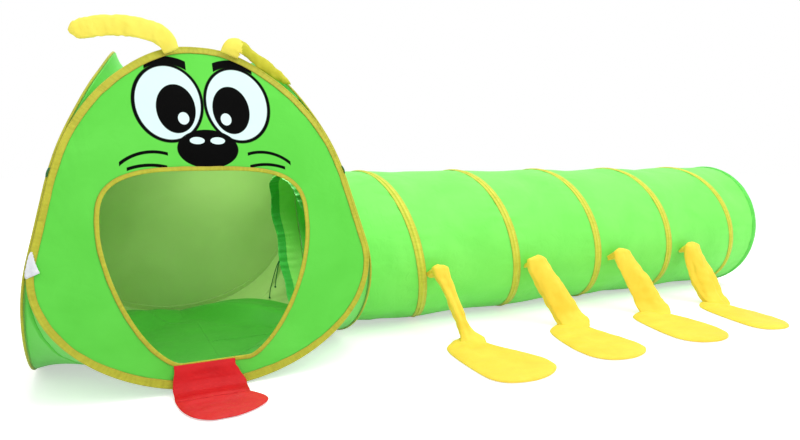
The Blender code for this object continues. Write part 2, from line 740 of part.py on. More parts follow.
def make_antenna(name, base_x, path, half_widths):
    """A stuffed feeler, sewn to the front of the hoop's tape near its top, bent in one upright plane."""
    z = ANTENNA_BASE_Z
    out = panel_normal(z)
    base_depth = ANTENNA_HALF_DEPTH * 0.6
    base = panel_point(base_x, z) + out * (LEG_OUTER + 2 * GAP + base_depth)
    points = [base] + [Vector((x, base.y - ANTENNA_STAND_OFF, up)) for x, up in path]
    forward = Vector((0, -1, 0))
    rows = [oval(base, Vector((1, 0, 0)), out, half_widths[0], base_depth, ANTENNA_SIDES)]
    for i in range(1, len(points)):
        after = points[min(i + 1, len(points) - 1)]
        along = (after - points[i - 1]).normalized()
        depth = ANTENNA_HALF_DEPTH * (0.5 if i == len(points) - 1 else 1)
        rows.append(oval(points[i], forward.cross(along), forward, half_widths[i], depth, ANTENNA_SIDES))
    antenna = solid_loft(name, rows, own_material(name, "yellow"))
    set_origin(antenna, base)


def make_antennae():
    make_antenna("left_antenna", -ANTENNA_BASE_X,
                 [(-0.072, 0.765), (-0.100, 0.778), (-0.150, 0.782), (-0.200, 0.776), (-0.240, 0.764),
                  (-0.262, 0.755)],
                 (0.018, 0.021, 0.022, 0.023, 0.022, 0.015, 0.006))
    make_antenna("right_antenna", ANTENNA_BASE_X + 0.014,
                 [(0.078, 0.755), (0.094, 0.765), (0.120, 0.755), (0.150, 0.738), (0.185, 0.715),
                  (0.212, 0.694)],
                 (0.019, 0.019, 0.017, 0.015, 0.017, 0.016, 0.007))


def make_tie(corner):
    """A short tie sewn over the seam where two hoops meet, at a front corner."""
    side_way = -1 if corner == "left" else 1
    out = Vector((side_way, -1, 0)).normalized()
    beside = Vector((1, side_way, 0)).normalized() * (TIE_WIDTH / 2)
    rows = []
    for z in (TIE_LOW, (TIE_LOW + TIE_HIGH) / 2, TIE_HIGH):
        reach = (2 * panel_distance(z) - SEAM_SETBACK) / sqrt(2) + BULB_OUTER + 2 * GAP
        near = out * reach + Vector((0, 0, z))
        far = near + out * TAPE
        rows.append([near - beside, near + beside, far + beside, far - beside])
    solid_loft(f"front_{corner}_tie", rows, own_material(f"{corner}_tie", "dark_green"))


def make_care_tag():
    """A blank tag, sewn on beside the hoop at the left edge of the front panel."""
    upper, lower = [HOOP_FRAMES[-(STEPS_BOTTOM - i)] for i in (0, 1)]
    start, end = BULB_OUTER + GAP, BULB_OUTER + GAP + TAG_WIDTH
    near, far = LEG_OUTER + GAP, LEG_OUTER + GAP + TAPE
    rows = []
    for share in (TAG_FIRST_SHARE, TAG_LAST_SHARE):
        frame = [a.lerp(b, share) for a, b in zip(upper, lower)]
        rows.append(place_section(frame, [(start, near), (end, near), (end, far), (start, far)]))
    solid_loft("care_tag", rows, own_material("tag", "white"))


for hoop_side in QUARTER_TURNS:
    make_hoop(hoop_side)
make_front_panel()
make_right_panel()
make_plain_panel("back")
make_plain_panel("left")
make_floor()
make_roof()
make_tunnel_skin()
make_coil()
make_drawcord()
for tunnel_side, leg_number in LEGS:
    make_leg(tunnel_side, leg_number)
    make_foot(tunnel_side, leg_number)
make_tongue()
make_antennae()
make_care_tag()
make_tie("left")
make_tie("right")
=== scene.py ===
# Play tent with a crawl tunnel: cloth, tapes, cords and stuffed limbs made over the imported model.
# All in metres. The face looks along -Y and the tunnel runs along +X.
from math import cos, pi, radians, sin, sqrt

import bmesh
import bpy
import numpy as np
from mathutils import Matrix, Vector, noise


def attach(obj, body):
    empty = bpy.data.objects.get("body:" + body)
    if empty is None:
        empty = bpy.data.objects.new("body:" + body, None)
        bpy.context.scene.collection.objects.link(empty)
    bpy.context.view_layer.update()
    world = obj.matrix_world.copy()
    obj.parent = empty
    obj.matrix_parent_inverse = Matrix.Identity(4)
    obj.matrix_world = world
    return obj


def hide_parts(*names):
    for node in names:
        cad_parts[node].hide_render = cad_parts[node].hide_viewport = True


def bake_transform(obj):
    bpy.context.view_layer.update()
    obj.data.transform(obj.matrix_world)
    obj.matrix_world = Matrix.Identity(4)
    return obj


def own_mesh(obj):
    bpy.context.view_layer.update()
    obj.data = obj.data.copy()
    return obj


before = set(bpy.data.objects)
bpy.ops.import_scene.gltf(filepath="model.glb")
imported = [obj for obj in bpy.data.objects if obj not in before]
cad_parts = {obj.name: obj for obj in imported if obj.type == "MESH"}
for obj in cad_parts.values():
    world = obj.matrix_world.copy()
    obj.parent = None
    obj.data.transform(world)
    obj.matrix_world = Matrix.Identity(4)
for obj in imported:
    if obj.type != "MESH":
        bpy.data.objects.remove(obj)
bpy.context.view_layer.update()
print("model loaded:", len(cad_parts), "nodes")

# Sums and small steps that many pieces share

fullTurn = 2 * pi


def unit(vector):
    return vector / np.linalg.norm(vector)


def limit(share):
    return min(max(share, 0), 1)


def runLength(points):
    # Distance of each point of a line from its first
    return np.concatenate([[0], np.cumsum(np.linalg.norm(np.diff(points, axis=0), axis=1))])


def rowRun(rows):
    # Mean distance of each row of a grid from its first
    return np.concatenate([[0], np.cumsum(np.linalg.norm(np.diff(rows, axis=0), axis=2).mean(axis=1))])


def meshUv(across, along):
    return np.stack(np.meshgrid(across, along), axis=-1)


def addObject(name, data):
    item = bpy.data.objects.new(name, data)
    bpy.context.scene.collection.objects.link(item)
    return item


def deselectAll():
    bpy.ops.object.select_all(action="DESELECT")


def choose(piece):
    deselectAll()
    piece.select_set(True)
    bpy.context.view_layer.objects.active = piece


# Camera first

cameraSettings = {"place": (-0.23, -1.7162, 0.5005), "yaw": 0.4582, "down": 0.1023, "lens": 27.9}


def makeCamera(settings):
    data = bpy.data.cameras.new("camera")
    data.lens = settings["lens"]
    data.sensor_width = 36
    data.clip_end = 60
    camera = addObject("camera", data)
    camera.location = settings["place"]
    camera.rotation_euler = (pi / 2 - settings["down"], 0, -settings["yaw"])
    bpy.context.scene.camera = camera


makeCamera(cameraSettings)

# Shapes shared by the head's four sides

head = {"half": 0.370, "seamLow": 0.30, "seamHigh": 0.50, "seamLowHalf": 0.352, "seamSlope": 0.243,
        "height": 0.755, "topHalf": 0.170, "bulb": 0.0029, "setback": 0.0043,
        "steps": (84, 28, 98), "tapeWidth": 0.017, "tapeTurn": 0.40, "slim": 0.042,
        "slimFrom": 0.44, "slimOver": 0.19, "widenFrom": 0.69, "widenOver": 0.065}
sideTurns = {"front": 0, "right": 1, "back": 2, "left": 3}


def shoulder(z):
    # The stretched cloth pulls the hoops in a little between the seams and the roof
    rise = limit((z - head["slimFrom"]) / head["slimOver"])
    fall = limit((z - head["widenFrom"]) / head["widenOver"])
    return 1 - head["slim"] * rise * rise * (3 - 2 * rise) * (1 - fall**1.5)


def panelDistance(z):
    # How far a side stands from the head's middle at this height
    return plainDistance(z) * shoulder(z)


def plainDistance(z):
    if z < head["seamLow"]:
        drop = head["half"] - head["seamLowHalf"]
        power = head["seamSlope"] * head["seamLow"] / drop
        return head["half"] - drop * (max(z, 0) / head["seamLow"]) ** power
    straight = head["seamLowHalf"] - head["seamSlope"] * (z - head["seamLow"])
    if z < head["seamHigh"]:
        return straight
    topStraight = head["seamLowHalf"] - head["seamSlope"] * (head["height"] - head["seamLow"])
    share = (z - head["seamHigh"]) / (head["height"] - head["seamHigh"])
    return straight - (topStraight - head["topHalf"]) * share**2


def panelPoint(u, z, out=0.0):
    return np.array((u, -panelDistance(z) - out, z))


def toSide(side, points):
    # Quarter turns about the head's upright axis
    points = np.array(points, float)
    for _ in range(sideTurns[side]):
        points = np.stack([-points[..., 1], points[..., 0], points[..., 2]], axis=-1)
    return points


def evenPoints(curve, count):
    samples = np.array([curve(i / 600) for i in range(601)])
    lengths = runLength(samples)
    wanted = np.arange(count) / count * lengths[-1]
    return [(np.interp(w, lengths, samples[:, 0]), np.interp(w, lengths, samples[:, 1])) for w in wanted]


def hoopBottom(share):
    turn = (1 - share) * pi / 2
    z = head["seamLow"] - (head["seamLow"] - head["bulb"]) * sin(turn)
    return (panelDistance(z) - head["setback"]) * cos(turn), z


def hoopSeam(share):
    z = head["seamLow"] + (head["seamHigh"] - head["seamLow"]) * share
    return panelDistance(z) - head["setback"], z


def hoopTop(share):
    turn = share * pi / 2
    z = head["seamHigh"] + (head["height"] - head["bulb"] - head["seamHigh"]) * sin(turn) ** (2 / 3)
    return (panelDistance(z) - head["setback"]) * max(cos(turn), 0) ** 0.8, z


def wholeOutline(half):
    return half + [(-u, z) for u, z in reversed(half[1:-1])]


def tapeShare(heights):
    # The binding turns edge-on beside the seams, so less of its width shows there
    rise = np.clip((heights - 0.015) / 0.10, 0, 1)
    fall = np.clip((0.72 - heights) / 0.22, 0, 1)
    return 1 - head["tapeTurn"] * rise * fall


def outlineFrames(outline):
    # Point, way into the outline and way out of the panel, at each point of an outline
    points = np.array([panelPoint(u, z) for u, z in outline])
    along = np.roll(points, -1, axis=0) - np.roll(points, 1, axis=0)
    slope = np.array([panelDistance(z + 0.001) - panelDistance(z - 0.001) for _, z in outline]) / 0.002
    out = np.stack([np.zeros(len(slope)), -np.ones(len(slope)), -slope], axis=-1)
    out /= np.linalg.norm(out, axis=1)[:, None]
    inward = np.cross(out, along)
    inward /= np.linalg.norm(inward, axis=1)[:, None]
    lengths = np.concatenate([[0], np.cumsum(np.linalg.norm(np.roll(points, -1, axis=0) - points, axis=1))])
    return points, inward, out, lengths


bottomSteps, seamSteps, topSteps = head["steps"]
hoopHalf = (evenPoints(hoopBottom, bottomSteps) + evenPoints(hoopSeam, seamSteps)
            + evenPoints(hoopTop, topSteps) + [hoopTop(1)])
hoopLine = wholeOutline(hoopHalf)
hoopFrames = outlineFrames(hoopLine)

# Making cloth from a grid


def closeRound(points):
    # Repeats the first column at the end
    return np.concatenate([points, points[:, :1]], axis=1)


def gridPiece(name, points, uv=None):
    # A grid primitive whose points are then put in place. Points that fall together are merged
    points = np.asarray(points, float)
    rows, columns = points.shape[:2]
    deselectAll()
    bpy.ops.mesh.primitive_grid_add(x_subdivisions=columns - 1, y_subdivisions=rows - 1, size=1)
    piece = bpy.context.object
    piece.name = piece.data.name = name
    mesh = piece.data
    mesh.vertices.foreach_set("co", points.reshape(-1))
    if uv is not None:
        corners = np.zeros(len(mesh.loops), np.int32)
        mesh.loops.foreach_get("vertex_index", corners)
        mesh.uv_layers[0].data.foreach_set("uv", np.asarray(uv, float).reshape(-1, 2)[corners].reshape(-1))
    shape = bmesh.new()
    shape.from_mesh(mesh)
    bmesh.ops.remove_doubles(shape, verts=shape.verts, dist=1e-6)
    shape.to_mesh(mesh)
    shape.free()
    mesh.update()
    return piece


def meshArea(piece):
    return sum(face.area for face in piece.data.polygons)


def readPoints(mesh):
    places = np.zeros(len(mesh.vertices) * 3)
    mesh.vertices.foreach_get("co", places)
    return places.reshape(-1, 3)


def writePoints(mesh, places):
    mesh.vertices.foreach_set("co", places.reshape(-1))
    mesh.update()


def applyModifier(piece, kind, **settings):
    modifier = piece.modifiers.new(kind.lower(), kind)
    for key, value in settings.items():
        setattr(modifier, key, value)
    choose(piece)
    bpy.ops.object.modifier_apply(modifier=modifier.name)


def smoothAll(piece):
    choose(piece)
    bpy.ops.object.shade_smooth()


def makeCloth(name, points, uv, thickness):
    # A sheet with its thickness. Also gives its area before that
    piece = gridPiece(name, points, uv)
    area = meshArea(piece)
    applyModifier(piece, "SOLIDIFY", thickness=thickness, offset=0)
    smoothAll(piece)
    return piece, area


def makeTube(name, rings):
    # Closed rings in a row, with both ends drawn in to their middles
    rings = closeRound(np.asarray(rings, float))
    middles = np.repeat(rings[:, :-1].mean(axis=1, keepdims=True), rings.shape[1], axis=1)
    points = np.concatenate([middles[:1], rings, middles[-1:]])
    across = np.linspace(0, 1, points.shape[1])
    piece = gridPiece(name, points, meshUv(across, runLength(points.mean(axis=1))))
    faceOutward(piece)
    smoothAll(piece)
    return piece


def lineInside(piece, middle, material):
    # The coated inner face of the cloth takes a second material
    piece.data.materials.append(material)
    centre = Vector(middle)
    for face in piece.data.polygons:
        if face.normal.dot(centre - face.center) > 0:
            face.material_index = 1


def faceOutward(piece):
    choose(piece)
    bpy.ops.object.mode_set(mode="EDIT")
    bpy.ops.mesh.select_all(action="SELECT")
    bpy.ops.mesh.normals_make_consistent(inside=False)
    bpy.ops.object.mode_set(mode="OBJECT")


def noiseAt(points, size, seed):
    # Smooth noise from -1 to 1, the same every run
    shift = np.array((seed * 7.31, seed * 3.17, seed * 5.53))
    flat = np.asarray(points, float).reshape(-1, 3) / size + shift
    return np.array([noise.noise(Vector(p)) for p in flat]).reshape(np.asarray(points).shape[:-1]) * 1.6


def crease(piece, layers, mask):
    # Moves a mesh along its normals: each layer is size, depth, seed and stretch
    places = readPoints(piece.data)
    normals = np.zeros(places.size)
    piece.data.vertex_normals.foreach_get("vector", normals)
    move = sum(depth * noiseAt(places * np.array(stretch), size, seed)
               for size, depth, seed, stretch in layers)
    writePoints(piece.data, places + normals.reshape(-1, 3) * (move * mask(places))[:, None])


def dress(piece, body, slot, material, *nodes):
    # Material, body and the nodes that the piece stands for; the slot is not used. Blended pieces give no body
    piece.data.materials.clear()
    piece.data.materials.append(material)
    if nodes:
        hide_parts(*nodes)
    if body:
        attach(piece, body)
    return piece


def stuff(piece, fill, *rest):
    dress(piece, *rest)


# Materials


def screenColour(red, green, blue):
    linear = [c / 3294.6 if c <= 10 else ((c / 255 + 0.055) / 1.055) ** 2.4 for c in (red, green, blue)]
    return (*linear, 1)


def addNode(tree, kind, inputs=None, **settings):
    node = tree.nodes.new(kind)
    for key, value in settings.items():
        setattr(node, key, value)
    for key, value in (inputs or {}).items():
        if isinstance(value, bpy.types.NodeSocket):
            tree.links.new(value, node.inputs[key])
        else:
            node.inputs[key].default_value = value
    return node


def calc(tree, operation, first, second=0.0, third=0.0, clamp=False):
    node = addNode(tree, "ShaderNodeMath", {0: first, 1: second, 2: third}, operation=operation)
    node.use_clamp = clamp
    return node.outputs[0]


def blendColour(tree, share, first, second):
    return addNode(tree, "ShaderNodeMix", {0: share, 6: first, 7: second}, data_type="RGBA").outputs[2]


def squares(tree, first, second):
    return calc(tree, "ADD", calc(tree, "MULTIPLY", first, first), calc(tree, "MULTIPLY", second, second))


def fromValue(tree, value, place):
    return calc(tree, "ABSOLUTE", calc(tree, "SUBTRACT", value, place))


def newGroup(name, inputs, outputs):
    tree = bpy.data.node_groups.new(name, "ShaderNodeTree")
    for label, kind, value in inputs:
        socket = tree.interface.new_socket(name=label, in_out="INPUT", socket_type="NodeSocket" + kind)
        if value is not None:
            socket.default_value = value
    for label, kind in outputs:
        tree.interface.new_socket(name=label, in_out="OUTPUT", socket_type="NodeSocket" + kind)
    return tree, tree.nodes.new("NodeGroupInput"), tree.nodes.new("NodeGroupOutput")


def makeClothGroup():
    # Weave, soft creases and a tone that varies at random and follows them: painted shade in the crease hollows,
    # lighter on their ridges
    tree, given, result = newGroup(
        "softCloth",
        [("Point", "Vector", None), ("Light", "Color", (1, 1, 1, 1)), ("Shade", "Color", (0.5, 0.5, 0.5, 1)),
         ("Crease size", "Float", 8.0), ("Crease depth", "Float", 1.0), ("Thread", "Float", 420.0)],
        [("Color", "Color"), ("Height", "Float"), ("Roughness", "Float")])
    point, size = given.outputs["Point"], given.outputs["Crease size"]
    broad, fine = [addNode(tree, "ShaderNodeTexNoise", {"Vector": point, "Detail": detail, "Scale": scale,
                                                        "Distortion": bend}).outputs["Fac"]
                   for detail, scale, bend in ((3.0, size, 0.6), (2.0, calc(tree, "MULTIPLY", size, 4.3), 1.2))]
    warp, weft = [addNode(tree, "ShaderNodeTexWave", {"Vector": point, "Scale": given.outputs["Thread"],
                                                      "Distortion": 0.4}, bands_direction=way).outputs["Fac"]
                  for way in "XZ"]
    ridge = calc(tree, "SUBTRACT", 0.25, fromValue(tree, fine, 0.5))
    threads = calc(tree, "MULTIPLY", calc(tree, "ADD", warp, weft), 0.012)
    height = calc(tree, "MULTIPLY_ADD", broad, 1.0, calc(tree, "MULTIPLY", ridge, 0.45))
    height = calc(tree, "ADD", calc(tree, "MULTIPLY", height, given.outputs["Crease depth"]), threads)
    # Painted shade: the colour goes to Shade where the creases sink and to Light where they rise
    creaseShade = calc(tree, "MULTIPLY_ADD", broad, 1.6, -0.3, clamp=True)
    colour = blendColour(tree, creaseShade, given.outputs["Shade"], given.outputs["Light"])
    tree.links.new(colour, result.inputs["Color"])
    tree.links.new(height, result.inputs["Height"])
    tree.links.new(calc(tree, "MULTIPLY_ADD", fine, 0.16, 0.5), result.inputs["Roughness"])
    return tree


def makeStitchGroup():
    # One row of stitches, from the distances across and along the tape
    tree, given, result = newGroup(
        "stitchRow",
        [("Across", "Float", 0.0), ("Along", "Float", 0.0), ("Place", "Float", 0.0), ("Width", "Float", 0.001),
         ("Pitch", "Float", 0.004)],
        [("Mask", "Float"), ("Line", "Float")])
    away = fromValue(tree, given.outputs["Across"], given.outputs["Place"])
    line = calc(tree, "LESS_THAN", away, given.outputs["Width"])
    step = calc(tree, "FRACT", calc(tree, "DIVIDE", given.outputs["Along"], given.outputs["Pitch"]))
    mask = calc(tree, "MULTIPLY", line, calc(tree, "LESS_THAN", step, 0.68))
    tree.links.new(mask, result.inputs["Mask"])
    tree.links.new(line, result.inputs["Line"])
    return tree


clothGroup = makeClothGroup()
stitchGroup = makeStitchGroup()


def newMaterial(name, sheen=0.0, roughness=0.6, gloss=0.28):
    material = bpy.data.materials.new(name)
    material.use_nodes = True
    tree = material.node_tree
    shader = tree.nodes["Principled BSDF"]
    shader.inputs["Roughness"].default_value = roughness
    shader.inputs["Specular IOR Level"].default_value = gloss
    shader.inputs["Sheen Weight"].default_value = sheen
    return material, tree, shader


def addCloth(tree, where, look, size, depth, thread=420.0):
    node = addNode(tree, "ShaderNodeGroup", node_tree=clothGroup)
    tree.links.new(where.outputs["Object"], node.inputs["Point"])
    for key, value in (("Light", screenColour(*look["light"])), ("Shade", screenColour(*look["shade"])),
                       ("Crease size", size), ("Crease depth", depth), ("Thread", thread)):
        node.inputs[key].default_value = value
    return node


def startCloth(name, look, size, depth, sheen=0.1, gloss=0.28, thread=420.0):
    # The cloth that a material's own colours are laid over
    material, tree, shader = newMaterial(name, sheen, gloss=gloss)
    where = addNode(tree, "ShaderNodeTexCoord")
    cloth = addCloth(tree, where, look, size, depth, thread)
    tree.links.new(cloth.outputs["Roughness"], shader.inputs["Roughness"])
    return material, tree, where, cloth


def finishCloth(material, colour, height, distance=0.004, strength=0.6):
    tree = material.node_tree
    shader = tree.nodes["Principled BSDF"]
    tree.links.new(colour, shader.inputs["Base Color"])
    bump = addNode(tree, "ShaderNodeBump", {"Height": height, "Distance": distance, "Strength": strength})
    tree.links.new(bump.outputs["Normal"], shader.inputs["Normal"])
    return material


def plainCloth(name, light, shade, size, depth, sheen=0.1):
    material, _, _, cloth = startCloth(name, {"light": light, "shade": shade}, size, depth, sheen)
    return finishCloth(material, cloth.outputs["Color"], cloth.outputs["Height"])


def floorCloth(low, high, seam):
    # Two cloths that meet at a seam: low inside it and high outside, by |x| + |y|
    material, tree, where, first = startCloth("floorCloth", low, 6.0, 0.8)
    apart = addNode(tree, "ShaderNodeSeparateXYZ", {0: where.outputs["Object"]})
    away = [calc(tree, "ABSOLUTE", apart.outputs[way]) for way in "XY"]
    reach = calc(tree, "ADD", *away)
    share = calc(tree, "MULTIPLY_ADD", calc(tree, "SUBTRACT", reach, seam), 120.0, 0.5, clamp=True)
    second = addCloth(tree, where, high, 6.0, 0.8)
    colour = blendColour(tree, share, first.outputs["Color"], second.outputs["Color"])
    return finishCloth(material, colour, first.outputs["Height"])


def steelWire():
    material, tree, shader = newMaterial("springSteel", roughness=0.35)
    shader.inputs["Metallic"].default_value = 1
    where = addNode(tree, "ShaderNodeTexCoord")
    drawn = addNode(tree, "ShaderNodeTexNoise", {"Vector": where.outputs["Object"], "Scale": 900.0})
    colour = blendColour(tree, drawn.outputs["Fac"], screenColour(140, 140, 146), screenColour(176, 176, 180))
    tree.links.new(colour, shader.inputs["Base Color"])
    return material


insideLook = {"light": (176, 214, 126), "shade": (160, 200, 110)}
tapeLook = {"light": (194, 192, 54), "shade": (160, 158, 34), "edge": (158, 138, 30), "thread": (188, 166, 48)}
coilLook = {"light": (222, 222, 78), "shade": (196, 198, 56), "edge": (160, 170, 50), "thread": (196, 184, 58)}


def bindingTape(name, width, rows, look=tapeLook, lined=False):
    # Tape whose UV map gives metres along and across; rows are its lines of stitches
    material, tree, where, cloth = startCloth(name, look, 26.0, 0.25, thread=900.0)
    apart = addNode(tree, "ShaderNodeSeparateXYZ", {0: where.outputs["UV"]})
    along, across = apart.outputs["X"], apart.outputs["Y"]
    squeezed = addNode(tree, "ShaderNodeCombineXYZ", {0: calc(tree, "MULTIPLY", along, 170.0),
                                                      1: calc(tree, "MULTIPLY", across, 40.0)})
    pucker = addNode(tree, "ShaderNodeTexNoise", {"Vector": squeezed.outputs[0], "Scale": 1.0, "Detail": 1.0})
    # Painted highlight: the raised puckers take the tape's light colour
    puckerHighlight = calc(tree, "MULTIPLY_ADD", pucker.outputs["Fac"], 1.8, -0.55, clamp=True)
    colour = blendColour(tree, puckerHighlight, cloth.outputs["Color"], screenColour(*look["light"]))
    edge = calc(tree, "GREATER_THAN", fromValue(tree, across, width / 2), width / 2 - 0.0010)
    colour = blendColour(tree, calc(tree, "MULTIPLY", edge, 0.65), colour, screenColour(*look["edge"]))
    height = calc(tree, "MULTIPLY", pucker.outputs["Fac"], 0.55)
    for place in rows:
        row = addNode(tree, "ShaderNodeGroup", node_tree=stitchGroup)
        tree.links.new(across, row.inputs["Across"])
        tree.links.new(along, row.inputs["Along"])
        row.inputs["Place"].default_value = place
        row.inputs["Width"].default_value = 0.0005
        colour = blendColour(tree, row.outputs["Mask"], colour, screenColour(*look["thread"]))
        height = calc(tree, "MULTIPLY_ADD", row.outputs["Line"], -0.16, height)
        height = calc(tree, "MULTIPLY_ADD", row.outputs["Mask"], 0.2, height)
    if lined:
        inner = calc(tree, "GREATER_THAN", across, width * 0.56)
        colour = blendColour(tree, inner, colour, screenColour(*insideLook["shade"]))
    return finishCloth(material, colour, height, distance=0.002, strength=0.8)


# The head's green is a darker copy of the tunnel's green: painted shade for the face, sides, roof and floor of the
# head
shadedHeadLook = {"light": (108, 220, 84), "shade": (96, 208, 72)}
floorLook = {"light": (76, 184, 52), "shade": (64, 170, 44)}
tentGreen = plainCloth("tentGreen", (134, 246, 106), (116, 232, 88), 7.0, 1.5)
shadedHeadGreen = plainCloth("shadedHeadGreen", shadedHeadLook["light"], shadedHeadLook["shade"], 7.0, 0.8)
floorInside = floorCloth(floorLook, insideLook, 0.455)
hemGreen = plainCloth("hemGreen", (108, 226, 92), (88, 206, 72), 24.0, 0.5)
insideGreen = plainCloth("insideGreen", insideLook["light"], insideLook["shade"], 5.0, 0.4)
limbYellow = plainCloth("limbYellow", (255, 226, 76), (252, 208, 56), 14.0, 0.9)
# A darker, greener copy of the antenna yellow: painted shade for the end that hangs behind the hoop
droopYellow = plainCloth("droopYellow", (216, 212, 52), (190, 186, 36), 14.0, 0.8)
feelerYellow = plainCloth("feelerYellow", (255, 244, 104), (254, 232, 84), 14.0, 0.9)
tongueRed = plainCloth("tongueRed", (222, 26, 30), (200, 16, 24), 16.0, 1.2, sheen=0.0)
cordGreen = plainCloth("cordGreen", (30, 118, 50), (16, 84, 34), 240.0, 0.5)
tagWhite = plainCloth("tagWhite", (240, 241, 244), (214, 218, 226), 40.0, 0.6)
steel = steelWire()
print("materials made")

# Drawcord of the tunnel's collar, hanging in two ends from its rim

tunnel = {"nearRadius": 0.2175, "nearHeight": 0.2425, "radius": 0.2261, "height": 0.230, "taperEnd": 0.49,
          "end": 2.0, "pitch": 0.3235, "firstBand": 0.4834, "tapeWidth": 0.020, "ease": 0.015,
          "stepsPerTurn": 110, "spareTape": 0.0035, "offWall": 0.0011, "wireRadius": 0.00125, "wireSteps": 90,
          "wireSides": 8, "wireEnds": (-1.25, 5.5), "tapeEnds": (-0.25, 4.4985)}
cordSettings = {"radius": 0.0015, "turn": radians(110), "collarLength": 0.080, "narrowing": 0.010,
                "ends": {"a": [(0, 0, 0), (-0.0015, 0.002, -0.004), (-0.004, 0.004, -0.010),
                               (-0.009, 0.005, -0.024), (-0.014, 0.006, -0.040), (-0.020, 0.008, -0.062),
                               (-0.026, 0.010, -0.085), (-0.029, 0.0115, -0.104), (-0.030, 0.012, -0.120)],
                         "b": [(0, -0.0034, 0), (-0.0015, -0.0045, -0.004), (-0.004, -0.0065, -0.010),
                               (-0.008, -0.010, -0.024), (-0.012, -0.014, -0.040), (-0.0165, -0.018, -0.060),
                               (-0.020, -0.022, -0.080)]},
                "knotRadius": 0.0022, "knotThickness": 0.0014}


def makeDrawcord(settings):
    rim = tunnel["nearRadius"] - settings["narrowing"]
    z = tunnel["nearHeight"] + rim * cos(settings["turn"])
    x = panelDistance(z) - tunnel["offWall"] - settings["collarLength"] - settings["radius"] - 0.0003
    start = np.array((x, rim * sin(settings["turn"]), z))
    for end, offsets in settings["ends"].items():
        route = start + np.array(offsets)
        curve = bpy.data.curves.new(f"drawcord_{end}", "CURVE")
        curve.dimensions = "3D"
        curve.bevel_depth = settings["radius"]
        curve.bevel_resolution = 3
        curve.use_fill_caps = True
        spline = curve.splines.new("NURBS")
        spline.points.add(len(route) - 1)
        for slot, point in zip(spline.points, route):
            slot.co = (*point, 1)
        spline.use_endpoint_u = True
        spline.order_u = 3
        cord = addObject(f"drawcord_{end}", curve)
        deselectAll()
        bpy.ops.mesh.primitive_torus_add(
            major_segments=20, minor_segments=10, major_radius=settings["knotRadius"],
            minor_radius=settings["knotThickness"])
        knot = bpy.context.object
        knot.name = knot.data.name = f"drawcord_knot_{end}"
        away = Vector(route[-1] - route[-2]).normalized()
        turn = Matrix.Rotation(0.5, 4, "Z") @ Matrix.Rotation(1.1, 4, "X")
        knot.data.transform(Matrix.Translation(Vector(route[-1]) - away * 0.002) @ turn)
        smoothAll(knot)
        dress(knot, "right_side", "dark_green_cord", cordGreen)
        dress(cord, "right_side", "dark_green_cord", cordGreen, "collar_drawcord")


makeDrawcord(cordSettings)
print("drawcord hung")

# Hoops: a spring wire in a folded tape round each side

hoopSettings = {"wireRadius": 0.00125, "wireSides": 8, "bulbRadius": 0.0024, "legOffset": 0.0014,
                "thickness": 0.0008, "pucker": 0.00028, "puckerSize": 0.012, "bulbSteps": 10}


def tapeSection(settings, width):
    # Across the tape: one leg, round the wire, and the other leg, as (inward, outward)
    legs = [(width * share, settings["legOffset"]) for share in (1, 0.82, 0.62, 0.42, 0.25)]
    start = np.arcsin(settings["legOffset"] / settings["bulbRadius"])
    turns = np.linspace(start, fullTurn - start, settings["bulbSteps"])
    bulb = [(settings["bulbRadius"] * cos(t), settings["bulbRadius"] * sin(t)) for t in turns]
    return np.array(legs + bulb + [(a, -b) for a, b in reversed(legs)])


def sweepTape(frames, section, width, settings, seed, way=1, shares=1.0):
    # Rows across the tape, columns along it, with soft puckers on its legs
    points, inward, out, lengths = frames
    rows, uv = [], []
    across, bulb = runLength(section), settings["bulbRadius"]
    for (a, b), distance in zip(section, across):
        loose = np.clip((abs(a) - 0.004) / (width - 0.004), 0, 1) * (1 if b * way else 0)
        ripple = noiseAt(points + np.array((0, 0, 0.02 * np.sign(b))), settings["puckerSize"], seed)
        wave = settings["pucker"] * loose * ripple
        reach = bulb + (a - bulb) * shares if a > bulb else a
        shift = reach * way + way * 0.0006 * loose * noiseAt(points, 0.03, seed + 5)
        rows.append(points + inward * shift[:, None] + out * (b + np.sign(b) * wave)[:, None])
        uv.append(np.stack([lengths, np.full(len(lengths), distance)], axis=-1))
    return closeRound(np.array(rows)), np.array(uv), across[-1]


def makeHoops(settings):
    width = head["tapeWidth"]
    section = tapeSection(settings, width)
    ways = np.linspace(0, fullTurn, settings["wireSides"], endpoint=False)
    made = {}
    for number, side in enumerate(sideTurns):
        points, uv, total = sweepTape(hoopFrames, section, width, settings, number + 1,
                                      shares=tapeShare(hoopFrames[0][:, 2]))
        tape, _ = makeCloth(f"{side}_tape", toSide(side, points), uv, settings["thickness"])
        if number == 0:
            material = bindingTape("hoopTape", total, (0.0028, total - 0.0028), lined=True)
        dress(tape, f"{side}_side", "yellow_binding", material, f"{side}_hoop_tape")
        centre, inward, out, _ = hoopFrames
        rings = [centre + settings["wireRadius"] * (inward * cos(way) + out * sin(way)) for way in ways]
        # Closed both ways
        rings = closeRound(closeRound(np.array(rings).transpose(1, 0, 2)).transpose(1, 0, 2))
        wire = gridPiece(f"{side}_wire", toSide(side, rings.transpose(1, 0, 2)))
        faceOutward(wire)
        smoothAll(wire)
        dress(wire, f"{side}_side", "spring_steel", steel, f"{side}_hoop_wire")
        made[side] = tape
    return made


hoopTapes = makeHoops(hoopSettings)
print("hoops made")

# The four cloth sides

panelSettings = {"thickness": 0.0006, "tuckedIn": 0.0045, "slack": 0.0024, "slackSize": 0.17,
                 "pucker": 0.0008, "puckerSize": 0.022, "puckerReach": 0.035, "easeOver": 0.06,
                 "holeInset": 0.0025, "middle": (0.0, 0.4), "flat": (0.74, 0.86)}
mouth = {"x": -0.010, "bottom": 0.063, "widest": 0.345, "top": 0.471, "half": 0.216, "flatHalf": 0.070,
         "tapeWidth": 0.010, "shownWidth": 0.0075, "foldHalf": 0.0014, "lowerPower": 2 / 1.55,
         "upperPower": 4 / 7, "shares": (0.1, 0.55)}


